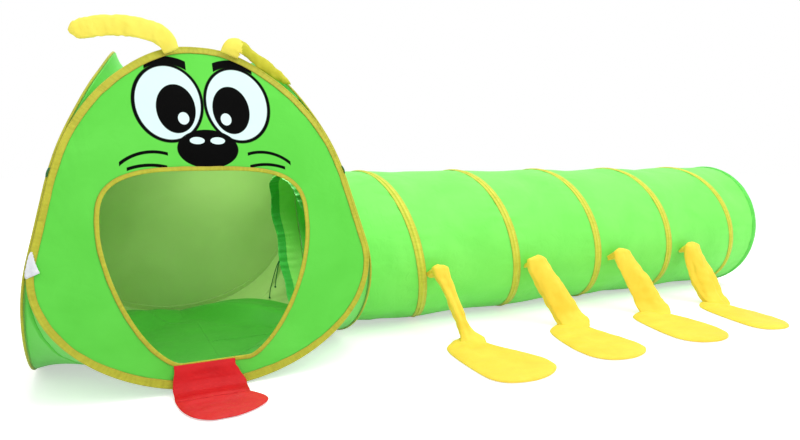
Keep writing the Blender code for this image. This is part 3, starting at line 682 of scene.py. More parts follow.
def mouthHalf(share):
    # From the middle of its lower edge, along the flat, up the lower curve and over the upper one
    flatHalf, half, bottom, widest = mouth["flatHalf"], mouth["half"], mouth["bottom"], mouth["widest"]
    flatShare, lowerShare = mouth["shares"]
    if share < flatShare:
        return flatHalf * share / flatShare, bottom
    if share < lowerShare:
        turn = (1 - (share - flatShare) / (lowerShare - flatShare)) * pi / 2
        power = mouth["lowerPower"]
        return (flatHalf + (half - flatHalf) * max(cos(turn), 0) ** power,
                widest - (widest - bottom) * sin(turn) ** power)
    turn = (share - lowerShare) / (1 - lowerShare) * pi / 2
    power = mouth["upperPower"]
    return half * max(cos(turn), 0) ** power, widest + (mouth["top"] - widest) * sin(turn) ** power


mouthLine = [(u + mouth["x"], z)
             for u, z in wholeOutline(evenPoints(mouthHalf, len(hoopLine) // 2) + [mouthHalf(1)])]
mouthFrames = outlineFrames(mouthLine)


def panelSheet(inner, shares, seed, lastRows=()):
    # Rows of cloth from inside the hoop's tape to an inner outline, slack between them
    settings = panelSettings
    points, inward, _, lengths = hoopFrames
    shown = head["tapeWidth"] * tapeShare(points[:, 2])
    rows = [points + inward * settings["tuckedIn"], points + inward * shown[:, None]]
    outer = rows[-1]
    for share in shares:
        u = outer[:, 0] + (inner[:, 0] - outer[:, 0]) * share
        z = outer[:, 2] + (inner[:, 1] - outer[:, 2]) * share
        rows.append(np.array([panelPoint(a, b) for a, b in zip(u, z)]))
    rows = np.array(rows + list(lastRows))
    fromEdge = np.linalg.norm(rows - rows[1], axis=2)
    fromLast = np.linalg.norm(rows - rows[-1], axis=2) if len(lastRows) else np.full(fromEdge.shape, 1.0)
    nearest = np.minimum(fromEdge, np.maximum(fromLast - 0.010, 0))
    ease = np.clip(nearest / settings["easeOver"], 0, 1) ** 2
    slack = settings["slack"] * ease * noiseAt(rows, settings["slackSize"], seed)
    lines = np.repeat(points[None], len(rows), axis=0)
    pucker = np.exp(-fromEdge / settings["puckerReach"]) * np.clip(fromEdge / 0.004, 0, 1)
    slack += settings["pucker"] * pucker * noiseAt(lines, settings["puckerSize"], seed + 3)
    rows[..., 1] -= slack
    return closeRound(rows), meshUv(lengths, rowRun(rows))


def makeSides(settings):
    # The front has the mouth, the right side has the tunnel's opening, and the others are whole
    points, inward, _, _ = mouthFrames
    beside = points - inward * mouth["tapeWidth"]
    angles = fullTurn * np.arange(len(hoopLine)) / len(hoopLine)
    radius = tunnel["nearRadius"] - settings["holeInset"]
    hole = np.stack([radius * np.sin(angles), tunnel["nearHeight"] - radius * np.cos(angles)], axis=-1)
    rim = np.array([panelPoint(u, z) for u, z in hole])
    middle = np.array([settings["middle"]] * len(hoopLine))
    evenly, inwardOnly = np.linspace(0, 1, 22)[1:-1], np.linspace(0, 1, 22)[1:] ** 0.9
    inner = {"front": (beside[:, [0, 2]], evenly, 11, [beside, points - inward * 0.001]),
             "right": (hole, np.linspace(0, 1, 18)[1:-1], 12, [rim]),
             "back": (middle, inwardOnly, 13), "left": (middle, inwardOnly, 14)}
    made, areas = {}, {}
    for side, shape in inner.items():
        rows, uv = panelSheet(*shape)
        made[side], areas[side] = makeCloth(f"{side}_cloth", toSide(side, rows), uv, settings["thickness"])
    return made, areas


sideCloths, sideAreas = makeSides(panelSettings)

# The mouth's narrow binding


def makeMouthTape():
    width = mouth["shownWidth"]
    half = [(width * share, mouth["foldHalf"]) for share in (1, 0.7, 0.35, 0)] + [(-0.0010, 0.0010)]
    section = np.array(half + [(-mouth["foldHalf"], 0)] + [(a, -b) for a, b in reversed(half)])
    points, uv, total = sweepTape(mouthFrames, section, width, hoopSettings, 21, way=-1)
    tape, _ = makeCloth("mouth_binding", points, uv, hoopSettings["thickness"])
    material = bindingTape("mouthTape", total, (0.0022, total - 0.0022))
    return dress(tape, "front_side", "yellow_binding", material, "mouth_tape")


mouthBinding = makeMouthTape()

# The printed face: plain round shapes, the same on both sides

face = {"black": (6, 6, 6),
        "ovals": [("eye rim", 0.0755, 0.620, 0.0765, 0.0915, (6, 6, 6)),
                  ("eye white", 0.075, 0.620, 0.069, 0.084, (218, 244, 240)),
                  ("pupil", 0.060, 0.606, 0.042, 0.056, (6, 6, 6)),
                  ("shine", 0.046, 0.584, 0.012, 0.014, (222, 244, 242)),
                  ("nose", 0.0, 0.517, 0.066, 0.043, (6, 6, 6)),
                  ("nose shine", 0.022, 0.535, 0.016, 0.008, (218, 244, 240))],
        "arcs": [("brow", 0.074, 0.628, 0.090, 0.0100, (0.030, 0.120), 0.68),
                 ("whisker", 0.115, 0.410, 0.100, 0.0040, (0.085, 0.182), 0.44),
                 ("whisker", 0.122, 0.352, 0.130, 0.0040, (0.088, 0.168), 0.40)]}


def ovalMask(tree, x, z, middle, height, half, tall):
    a = calc(tree, "DIVIDE", calc(tree, "SUBTRACT", x, middle), half)
    b = calc(tree, "DIVIDE", calc(tree, "SUBTRACT", z, height), tall)
    return calc(tree, "MULTIPLY", calc(tree, "SUBTRACT", 1.0, squares(tree, a, b)), 24.0, clamp=True)


def arcMask(tree, x, z, middle, height, radius, half, ends, lowest):
    # Part of a ring, between two distances from the face's middle and above a height
    away = squares(tree, calc(tree, "SUBTRACT", x, middle), calc(tree, "SUBTRACT", z, height))
    near = fromValue(tree, calc(tree, "SQRT", away), radius)
    mask = calc(tree, "MULTIPLY", calc(tree, "SUBTRACT", half, near), 900.0, clamp=True)
    gates = ("GREATER_THAN", x, ends[0]), ("LESS_THAN", x, ends[1]), ("GREATER_THAN", z, lowest)
    for gate, value, place in gates:
        mask = calc(tree, "MULTIPLY", mask, calc(tree, gate, value, place))
    return mask


def faceCloth():
    material, tree, where, cloth = startCloth("faceCloth", shadedHeadLook, 7.0, 0.7, sheen=0.0, gloss=0.02)
    apart = addNode(tree, "ShaderNodeSeparateXYZ", {0: where.outputs["Object"]})
    x, z = calc(tree, "ABSOLUTE", apart.outputs["X"]), apart.outputs["Z"]
    colour = cloth.outputs["Color"]
    for _, *shape, shade in face["ovals"]:
        colour = blendColour(tree, ovalMask(tree, x, z, *shape), colour, screenColour(*shade))
    for _, *shape in face["arcs"]:
        colour = blendColour(tree, arcMask(tree, x, z, *shape), colour, screenColour(*face["black"]))
    return finishCloth(material, colour, cloth.outputs["Height"])


faceMaterial = faceCloth()
for hoopSide, sideCloth in sideCloths.items():
    dress(sideCloth, f"{hoopSide}_side", "green_cloth", faceMaterial if hoopSide == "front" else shadedHeadGreen,
          f"{hoopSide}_panel")
    lineInside(sideCloth, (0, 0, 0.35), insideGreen)
print("sides sewn")

# Roof and floor. Each is four overlapping leaves, one to a side, so that they slide over each other
# when the head folds

leafSettings = {"edgeInset": 0.0042, "cornerInset": 0.0050, "roofMiddle": 0.735, "roofSag": 0.085,
                "roofDrop": 0.036, "floorDraw": 0.085, "drawFrom": 0.24, "drawOver": 0.12, "floor": 0.0006,
                "binding": 0.0095, "bound": 0.17, "layer": 0.0005, "depth": 0.03, "thickness": 0.0003,
                "cut": radians(23), "gap": 0.006}


def innerEdge(stations):
    # The leaves' outline: inside each hoop, and a little further in at the seams
    edge, corner = leafSettings["edgeInset"], leafSettings["cornerInset"]
    row = []
    for u, z in stations[:-1]:
        whole = panelDistance(z) - head["setback"]
        share = (abs(u) / whole) ** 4
        inner = u * (1 - (corner - head["setback"]) * share / whole)
        row.append(panelPoint(inner, z, -edge - (corner - edge) * share))
    return np.concatenate([toSide(side, row) for side in sideTurns])


def ruledRows(edge, shares):
    # Cloth pulled straight from one hoop to the next at each height: its height depends on |x| + |y| alone.
    # Also gives how far along that straight line a point is, from 1 at a hoop to 0 midway, and its length
    reach = np.abs(edge[:, 0]) + np.abs(edge[:, 1])
    apart = np.abs(np.abs(edge[:, 0]) - np.abs(edge[:, 1]))
    # The hoops turn back a little near the seams, so only the run up to their widest place counts
    order = np.argsort(np.abs(edge[:, 2] - edge[np.argmin(reach), 2]))
    order = order[reach[order] >= np.maximum.accumulate(reach[order]) - 1e-6]
    rows, along, spans = [], [], []
    for share in shares:
        row = edge * share
        sums = np.abs(row[:, 0]) + np.abs(row[:, 1])
        differences = np.abs(np.abs(row[:, 0]) - np.abs(row[:, 1]))
        height = np.interp(sums, reach[order], edge[order, 2])
        fix = edge[:, 2] - np.interp(reach, reach[order], edge[order, 2])
        row[:, 2] = height + fix * share**12
        span = np.interp(sums, reach[order], apart[order])
        rows.append(row)
        along.append(np.clip(differences / np.maximum(span, 1e-4), 0, 1))
        spans.append(span * sqrt(2))
    return np.array(rows), np.array(along), np.array(spans), reach.min()


def edgeShares(count):
    # The first rows are the width of the binding, then even rows to the middle
    first = 1 - leafSettings["binding"] / 0.37 * np.linspace(0, 1, 4)
    return np.concatenate([first, np.linspace(first[-1], 0.04, count)[1:], [0.0]])


def roofRows(edge):
    shares = edgeShares(30)
    rows, along, spans, flat = ruledRows(edge, shares)
    rows[..., 2] -= leafSettings["roofDrop"] * (1 - shares**16)[:, None]
    sums = np.abs(rows[..., 0]) + np.abs(rows[..., 1])
    inside = np.clip(sums / flat, 0, 1)
    rows[..., 2] -= leafSettings["roofSag"] * spans * (1 - along**2) * inside**2
    rows[..., 2] -= (head["height"] - leafSettings["roofMiddle"]) * (1 - inside**2)
    loose = np.clip(1 - along, 0, 1)
    rows[..., 2] += 0.0022 * loose * noiseAt(rows, 0.10, 31)
    return rows


def floorRows(edge):
    rows, along, spans, _ = ruledRows(edge, edgeShares(34))
    sums = np.abs(rows[..., 0]) + np.abs(rows[..., 1])
    ramp = np.clip((sums - leafSettings["drawFrom"]) / leafSettings["drawOver"], 0, 1)
    ramp = ramp**2 * (3 - 2 * ramp) * (1 - along**2)
    # Drawn in and up between the hoops, with soft folds that run from hoop to hoop
    wide = np.clip(spans / 0.15, 0, 1) ** 2
    fold = 0.0016 * np.sin(rows[..., 2] * 120 + 2.5 * noiseAt(rows, 0.09, 33)) * wide
    drawn = ramp * (leafSettings["floorDraw"] * spans + fold)
    rows[..., 2] = np.maximum(rows[..., 2] + drawn, leafSettings["floor"])
    bend = np.abs(noiseAt(rows * np.array((1, 1, 0.3)), 0.16, 34))
    rows[..., 2] += 0.005 * np.clip(bend - 0.15, 0, 1) * np.clip((0.30 - sums) / 0.05, 0, 1)
    return rows


def neighbourCuts(way, heights):
    # Planes along the next side as it stands when the head is folded
    hinge, axis = Vector((way * 0.326, -0.326, 0.4)), Vector((way * 0.2298, -0.2298, -0.9457))
    turn = Matrix.Rotation(-way * leafSettings["cut"], 3, axis)
    for z in heights:
        slope = (panelDistance(z + 0.005) - panelDistance(z - 0.005)) / 0.01
        place = Vector((way * (panelDistance(z) - leafSettings["gap"]), -0.3, z))
        yield hinge + turn @ (place - hinge), turn @ Vector((way, 0, -slope)).normalized()


def makeLeaves(name, rows, inner, node, heights):
    edge = closeRound(rows)
    whole = gridPiece(f"{name}_whole", edge, meshUv(runLength(edge[0]), rowRun(edge)))
    along = whole.data.uv_layers[0].data
    for face in whole.data.polygons:
        # Binding along the hoops, below the seams and over the roof
        fromEdge = sum(along[corner].uv[1] for corner in face.loop_indices) / face.loop_total
        low = leafSettings["bound"] < face.center.z < 0.5
        face.material_index = int(fromEdge < leafSettings["binding"] and not low)
    for number, side in enumerate(sideTurns):
        leaf = whole.copy()
        leaf.data = whole.data.copy()
        leaf.name = leaf.data.name = f"{name}_leaf_{side}"
        bpy.context.scene.collection.objects.link(leaf)
        shape = bmesh.new()
        shape.from_mesh(leaf.data)
        if sum(face.normal.dot(Vector((0, 0, 0.4)) - face.calc_center_median()) for face in shape.faces) > 0:
            bmesh.ops.reverse_faces(shape, faces=shape.faces)
        # Its acute end is to the right for the front and back, and to the left for the others
        way = 1 if side in ("front", "back") else -1
        for place, normal in [((0, leafSettings["depth"], 0), (0, 1, 0)), *neighbourCuts(way, heights)]:
            place, normal = toSide(side, place), toSide(side, normal)
            everything = shape.verts[:] + shape.edges[:] + shape.faces[:]
            bmesh.ops.bisect_plane(shape, geom=everything, plane_co=place, plane_no=normal, clear_outer=True)
        shape.normal_update()
        for vertex in shape.verts:
            # Each leaf lies a little inside the one before it
            vertex.co -= vertex.normal * leafSettings["layer"] * number
        shape.to_mesh(leaf.data)
        shape.free()
        dress(leaf, f"{side}_side", "green_cloth", shadedHeadGreen, node)
        for material in (seamBinding, inner, seamBinding if inner == floorInside else inner):
            leaf.data.materials.append(material)
        # The thickness gives the other face the inner two materials
        applyModifier(leaf, "SOLIDIFY", thickness=leafSettings["thickness"], offset=0, material_offset=2)
        smoothAll(leaf)
    bpy.data.objects.remove(whole)


bottomLine = hoopLine[-bottomSteps:] + hoopLine[:bottomSteps + 1]
topStart = bottomSteps + seamSteps
topLine = [(-u, z) for u, z in hoopLine[topStart:topStart + 2 * topSteps + 1]]
seamBinding = bindingTape("seamBinding", leafSettings["binding"], (0.0070,))
makeLeaves("floor", floorRows(innerEdge(bottomLine[::2])), floorInside, "floor_panel",
           (0.01, 0.08, 0.16, 0.24))
makeLeaves("roof", roofRows(innerEdge(topLine[::2])), insideGreen, "roof_panel",
           (0.52, 0.58, 0.64, 0.69, 0.73))
print("roof and floor laid")

# Tunnel: cloth over a long coil

skinSettings = {"columns": 300, "rows": 124, "thickness": 0.0006, "sag": 0.0045, "pucker": 0.0027,
                "puckerSize": 0.018, "slack": 0.0036, "flat": (1.45, 1.70)}


def nearEdge(turn):
    # Where the cloth starts, clear of the right side
    z = tunnel["nearHeight"] + tunnel["nearRadius"] * cos(fullTurn * turn)
    return panelDistance(z) + tunnel["offWall"]


def onTunnel(x, turn, above=0.0):
    # A point above the tunnel's cloth; turns are counted from the top towards the near side
    start = nearEdge(turn)
    share = limit((x - start) / (tunnel["taperEnd"] - start))
    radius = tunnel["nearRadius"] + (tunnel["radius"] - tunnel["nearRadius"]) * share + above
    height = tunnel["nearHeight"] + (tunnel["height"] - tunnel["nearHeight"]) * share
    return x, -radius * sin(fullTurn * turn), height + radius * cos(fullTurn * turn)


def softMax(a, b):
    more = a - b
    if abs(more) >= tunnel["ease"]:
        return max(a, b)
    return b + (more + tunnel["ease"]) ** 2 / (4 * tunnel["ease"])


def coilX(turn):
    nearRing = nearEdge(turn) + tunnel["tapeWidth"] / 2 + 0.0003
    farRing = tunnel["end"] - tunnel["tapeWidth"] / 2
    return -softMax(-softMax(tunnel["firstBand"] + tunnel["pitch"] * turn, nearRing), -farRing)


def fromCoil(x, turn):
    # Distance along the tunnel to the nearest ring of the coil
    rings = [coilX(turn + number) for number in range(-2, 6)]
    return min(abs(x - ring) for ring in rings)


def makeSkin(settings):
    turns = np.linspace(0, 1, settings["columns"], endpoint=False)
    shares = np.linspace(0, 1, settings["rows"])
    rows = np.zeros((len(shares), len(turns), 3))
    apart = np.zeros((len(shares), len(turns)))
    for column, turn in enumerate(turns):
        start = nearEdge(turn)
        for row, share in enumerate(shares):
            x = start + (tunnel["end"] - start) * share
            apart[row, column] = fromCoil(x, turn)
            rows[row, column] = onTunnel(x, turn, -0.0005)
    # Away from the coil the cloth draws in, and it puckers beside the tape
    free = np.clip((apart - 0.012) / 0.15, 0, 1)
    dip = settings["sag"] * np.sin(free * pi / 2) ** 2
    ends = np.clip(np.minimum(shares, 1 - shares) / 0.02, 0, 1)[:, None]
    beside = np.exp(-np.maximum(apart - 0.013, 0) / 0.030) * np.clip((apart - 0.012) / 0.008, 0, 1)
    ripple = noiseAt(rows * np.array((0.25, 1, 1)), settings["puckerSize"], 41)
    slack = settings["slack"] * free * noiseAt(rows * np.array((0.7, 1, 1)), 0.09, 42)
    low = np.clip((0.06 - rows[..., 2]) / 0.05, 0, 1)
    move = (dip - settings["pucker"] * beside * ripple * (1 - 0.5 * low) - slack) * ends
    centre = np.stack([rows[..., 0], np.zeros(apart.shape), np.full(apart.shape, tunnel["height"])], axis=-1)
    inward = centre - rows
    inward /= np.linalg.norm(inward, axis=2)[..., None]
    rows = rows + inward * move[..., None]
    rows[..., 2] = np.maximum(rows[..., 2], 0.0006)
    uv = meshUv(np.linspace(0, 1.42, len(turns) + 1), shares * 1.69)
    skin, area = makeCloth("tunnel_cloth", closeRound(rows), uv, settings["thickness"])
    dress(skin, "right_side", "green_cloth", tentGreen, "tunnel_skin")
    return skin, area


def collapses(piece):
    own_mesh(piece)


def makeStrip(name, first, last, material, node, body, slot, spare=0.0):
    # Tape along the coil, bulging over its wire. Away from its ends it may be wider by the spare
    turns = np.linspace(first, last, round((last - first) * tunnel["stepsPerTurn"]) + 1)
    half, bulgeHalf, flutterDepth = tunnel["tapeWidth"] / 2, 0.0036, 0.00045
    steps = (0.0009, 0.0018, 0.0026, 0.0034, 0.005, 0.0075, half)
    rows, uv = [], []
    for a in (*(-step for step in reversed(steps)), 0, *steps):
        bulge = 0.0029 * max(0.0, 1 - (abs(a) / bulgeHalf) ** 2.6)
        loose = limit((abs(a) - bulgeHalf) / 0.006)
        row = []
        for turn in turns:
            ripple = noise.noise(Vector((turn * 95, a * 60, 3)))
            flutter = flutterDepth * loose * ripple + flutterDepth * loose
            wide = 1 + spare / half * limit((min(turn - first, last - turn) - 0.15) / 0.25)
            row.append(onTunnel(coilX(turn) + a * (wide if loose else 1), turn, 0.0004 + bulge + flutter))
        rows.append(row)
        uv.append([(turn * fullTurn * 0.228, a + half) for turn in turns])
    strip, _ = makeCloth(name, rows, uv, 0.0007)
    return dress(strip, body, slot, material, node)


def makeCoilWire():
    first, last = tunnel["wireEnds"]
    turns = np.linspace(first, last, round((last - first) * tunnel["wireSteps"]) + 1)
    ways = np.linspace(0, fullTurn, tunnel["wireSides"], endpoint=False)
    rings = []
    for turn in turns:
        middle = np.array(onTunnel(coilX(turn), turn, 0.0003 + tunnel["wireRadius"]))
        outward = np.array((0, -sin(fullTurn * turn), cos(fullTurn * turn)))
        rings.append([middle + tunnel["wireRadius"] * (outward * cos(way) + np.array((1, 0, 0)) * sin(way))
                      for way in ways])
    return dress(makeTube("coil_wire", rings), "right_side", "spring_steel", steel, "tunnel_coil_wire")


tunnelCloth, tunnelArea = makeSkin(skinSettings)
coilMaterial = bindingTape("coilTape", tunnel["tapeWidth"], (0.0030, 0.0170), coilLook)
wireStart, wireEnd = tunnel["wireEnds"]
tapeStart, tapeEnd = tunnel["tapeEnds"]
coilTape = makeStrip("coil_tape", tapeStart, tapeEnd, coilMaterial, "tunnel_coil_tape", "right_side",
                     "yellow_binding", tunnel["spareTape"])
nearHem = makeStrip("near_hem", wireStart, tapeStart - 0.0015, hemGreen, "tunnel_near_hem", "right_side",
                    "green_binding")
endHem = makeStrip("end_hem", tapeEnd + 0.0015, wireEnd, hemGreen, "tunnel_end_hem", "tunnel_end",
                   "green_binding")
coilWire = makeCoilWire()
for tunnelPiece in (tunnelCloth, coilTape, coilWire):
    collapses(tunnelPiece)
print("tunnel stretched over its coil")

# Collar: gathered cloth round the tunnel's opening, inside the head

# The collar's look is lighter than the sides' green: painted light that makes up for the shade inside the head
collarSettings = {"length": 0.080, "narrowing": 0.010, "columns": 260, "rows": 18, "gather": 0.0036,
                  "thickness": 0.0006, "strip": 0.052, "flat": (1.60, 0.082),
                  "look": {"light": (168, 250, 124), "shade": (146, 240, 104)}, "casing": (74, 196, 76)}


def collarCloth(settings):
    # Green made lighter than the sides, painted light for its place in the shade inside the head, with a dark
    # casing for the cord at its rim
    material, tree, where, cloth = startCloth("collarCloth", settings["look"], 14.0, 0.8)
    apart = addNode(tree, "ShaderNodeSeparateXYZ", {0: where.outputs["UV"]})
    casing = calc(tree, "GREATER_THAN", apart.outputs["Y"], settings["strip"])
    colour = blendColour(tree, casing, cloth.outputs["Color"], screenColour(*settings["casing"]))
    return finishCloth(material, colour, cloth.outputs["Height"])


def makeCollar(settings):
    angles = np.linspace(0, fullTurn, settings["columns"], endpoint=False)
    base = np.array([panelDistance(v) for v in tunnel["nearHeight"] + tunnel["nearRadius"] * np.cos(angles)])
    rows = []
    for share in np.linspace(0, 1, settings["rows"]):
        fold = np.sin(angles * 46 + 4 * np.sin(angles * 5)) + 0.4 * np.sin(angles * 19 + 1.0)
        radius = tunnel["nearRadius"] - settings["narrowing"] * share**1.5
        radius = radius - np.abs(settings["gather"] * share * fold)
        x = base - tunnel["offWall"] - settings["length"] * share + 0.003 * share * np.sin(angles * 9)
        z = tunnel["nearHeight"] + radius * np.cos(angles)
        rows.append(np.stack([x, radius * np.sin(angles), z], axis=-1))
    uv = meshUv(np.linspace(0, 1.37, len(angles) + 1), np.linspace(0, settings["length"], settings["rows"]))
    collar, area = makeCloth("collar_cloth", closeRound(np.array(rows)), uv, settings["thickness"])
    dress(collar, "right_side", "dark_green_cloth", collarCloth(settings), "tunnel_collar")


makeCollar(collarSettings)

# Ties and the blank tag

tieSettings = {"width": 0.0050, "low": 0.460, "high": 0.478}


def makeTie(corner, settings):
    way = -1 if corner == "left" else 1
    out = np.array((way, -1, 0)) / sqrt(2)
    beside = np.array((1, way, 0)) / sqrt(2)
    rows = []
    for z in np.linspace(settings["low"], settings["high"], 10):
        reach = (2 * panelDistance(z) - head["setback"]) / sqrt(2) + head["bulb"] + 0.0010
        bow = 0.0016 * sin((z - settings["low"]) / (settings["high"] - settings["low"]) * pi)
        rows.append([out * (reach + bow) + beside * settings["width"] * a + np.array((0, 0, z))
                     for a in (-0.5, -0.25, 0, 0.25, 0.5)])
    uv = [[(a, b) for a in (0, 0.002, 0.004, 0.006, 0.008)] for b in np.linspace(0, 0.037, 10)]
    tie, _ = makeCloth(f"{corner}_tie", rows, uv, 0.0008)
    return dress(tie, "front_side", "dark_green_cloth", cordGreen, f"front_{corner}_tie")


tagSettings = {"top": 0.318, "drop": 0.050, "topWidth": 0.004, "width": 0.023, "slant": 0.010,
               "topReach": 0.001, "reach": 0.021}


def makeTag(settings):
    # A small folded ribbon, blank, sewn under the hoop's tape and hanging past its edge
    points, inward, out, _ = hoopFrames
    heights = points[:, 2]
    rows = []
    for share in np.linspace(0, 1, 14):
        width = settings["topWidth"] + (settings["width"] - settings["topWidth"]) * min(1, 1.15 * share)
        reach = settings["topReach"] + (settings["reach"] - settings["topReach"]) * share
        row = []
        for a in np.linspace(0, 1, 9):
            z = settings["top"] - settings["drop"] * share + settings["slant"] * share * (1 - a)
            station = np.argmin(np.abs(heights - z) + 10 * (points[:, 0] > 0))
            fold = 0.0034 * sin(share * pi) * a + 0.0016 * sin(a * pi * 2) * share
            row.append(np.array((*(points[station] + inward[station] * (reach - width * a)
                                   + out[station] * (0.0040 + fold))[:2], z)))
        rows.append(row)
    uv = meshUv(np.linspace(0, 0.03, 9), np.linspace(0, 0.05, 14))
    tag, _ = makeCloth("blank_tag", rows, uv, 0.0006)
    return dress(tag, "front_side", "white_tag", tagWhite, "care_tag")


smallPieces = [makeTie("left", tieSettings), makeTie("right", tieSettings), makeTag(tagSettings)]
print("collar, ties and tag sewn on")

# Stuffed limbs, their settings by number from the head outward


def signedPower(values, power):
    return np.sign(values) * np.abs(values) ** power


def ovalRing(middle, acrossWay, depthWay, half, depth, sides, roundness=2.0, folds=0.0, phase=0.0):
    angles = np.linspace(0, fullTurn, sides, endpoint=False)
    grow = 1 + folds * (np.sin(3 * angles + phase) + 0.6 * np.sin(5 * angles - 1.7 * phase))
    a = half * signedPower(np.cos(angles), 2 / roundness) * grow
    b = depth * signedPower(np.sin(angles), 2 / roundness) * grow
    return middle + np.outer(a, acrossWay) + np.outer(b, depthWay)


def smoothValues(values, shares):
    # A smooth run through evenly spaced values
    dense = np.interp(shares, np.linspace(0, 1, len(values)), values)
    padded = np.concatenate([dense[:1]] * 2 + [dense] + [dense[-1:]] * 2)
    return np.convolve(padded, np.array((1, 2, 3, 2, 1)) / 9, mode="valid")


def softLine(corners, shares):
    # Even places along a bent line, with its corners rounded off
    run = runLength(corners)
    middles = np.stack([np.interp(shares, run / run[-1], corners[:, k]) for k in range(3)], axis=-1)
    for k in range(3):
        middles[3:-3, k] = np.convolve(middles[:, k], np.ones(7) / 7, mode="valid")
    return middles


legSettings = {"first": 0.605, "pitch": 0.336, "turn": radians(105), "stubReach": 0.026, "stubRise": 0.018,
               "knee": 0.009, "ankle": 0.005, "ankleReach": 0.072, "footThick": 0.012, "lowest": 0.0035,
               "sides": 44, "steps": 72,
               "leans": (0.045, 0.068, 0.072, 0.020), "rise": 0.017,
               "facing": (radians(12), radians(22), radians(26), radians(26)),
               "widths": ((0.024, 0.024, 0.019, 0.016, 0.0145, 0.014, 0.018, 0.036, 0.026),
                          (0.030, 0.037, 0.038, 0.039, 0.040, 0.041, 0.041, 0.044, 0.030),
                          (0.029, 0.036, 0.037, 0.037, 0.038, 0.041, 0.045, 0.048, 0.030),
                          (0.028, 0.036, 0.038, 0.041, 0.044, 0.043, 0.034, 0.032, 0.024)),
               "depths": (0.011, 0.015, 0.014, 0.013, 0.013, 0.012, 0.011, 0.006, 0.003),
               "folds": (0.13, 0.07, 0.10, 0.16)}
# A foot's half widths to its left and right, evenly from heel to toe. A skewed toe is shorter at its right
footSettings = {"heel": 0.026, "toe": 0.327, "thick": 0.0115, "edge": 0.0012, "steps": 64, "sides": 48,
                "yaws": (radians(3), radians(11), radians(15), radians(14)),
                "skews": (0.10, 0.25, 0.20, 0.20),
                "shifts": (0.0, -0.001, -0.003, -0.008),
                "left": ((0.054, 0.090, 0.096, 0.099, 0.100, 0.098, 0.086),
                         (0.056, 0.094, 0.102, 0.108, 0.110, 0.102, 0.080),
                         (0.058, 0.098, 0.102, 0.104, 0.104, 0.098, 0.078),
                         (0.052, 0.074, 0.080, 0.084, 0.085, 0.084, 0.076)),
                "right": ((0.028, 0.036, 0.054, 0.088, 0.108, 0.102, 0.068),
                          (0.034, 0.042, 0.054, 0.072, 0.084, 0.082, 0.060),
                          (0.036, 0.046, 0.066, 0.082, 0.086, 0.078, 0.056),
                          (0.028, 0.034, 0.046, 0.058, 0.064, 0.058, 0.042))}


def legPoints(side, number):
    way = -1 if side == "near" else 1
    settings = legSettings
    rootX, rootY, rootZ = onTunnel(settings["first"] + settings["pitch"] * (number - 1),
                                   settings["turn"] / fullTurn, 0.0003)
    root = np.array((rootX, -way * rootY, rootZ))
    rise = settings["stubRise"]
    knee = root + np.array((rise / 2, way * (settings["stubReach"] + settings["knee"]), rise))
    ankle = np.array((knee[0] + settings["leans"][number - 1], knee[1] + way * settings["ankleReach"],
                      settings["footThick"] + 0.0003 + settings["ankle"]))
    return root, knee, ankle, np.array((0, way * sin(settings["turn"]), cos(settings["turn"])))


def footWay(side, number):
    yaw = footSettings["yaws"][number - 1]
    return np.array((-sin(yaw), (-1 if side == "near" else 1) * cos(yaw), 0))


def makeStub(side, number, seed):
    # Gathered cloth between the tunnel's wall and the knee
    root, knee, _, out = legPoints(side, number)
    along = np.array((1.0, 0, 0))
    reach = unit(np.array((0, knee[1] - root[1], knee[2] - root[2])))
    end = knee - reach * (legSettings["knee"] + 0.0012)
    rings = []
    for share in np.linspace(0, 1, 12):
        middle = root + (end - root) * share - out * 0.0008 * (1 - share)
        across = np.cross(along, unit(out * (1 - share) + reach * share))
        half, depth = 0.0135 + 0.0060 * share**1.4, 0.0100 + 0.0020 * share
        rings.append(ovalRing(middle, along, across, half, depth, 32, 2.0, 0.14, seed + share))
    stub = makeTube(f"{side}_stub_{number}", rings)
    stuff(stub, 0.5, None, "yellow_cloth", limbYellow, f"{side}_leg_{number}_stub")
    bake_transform(stub)


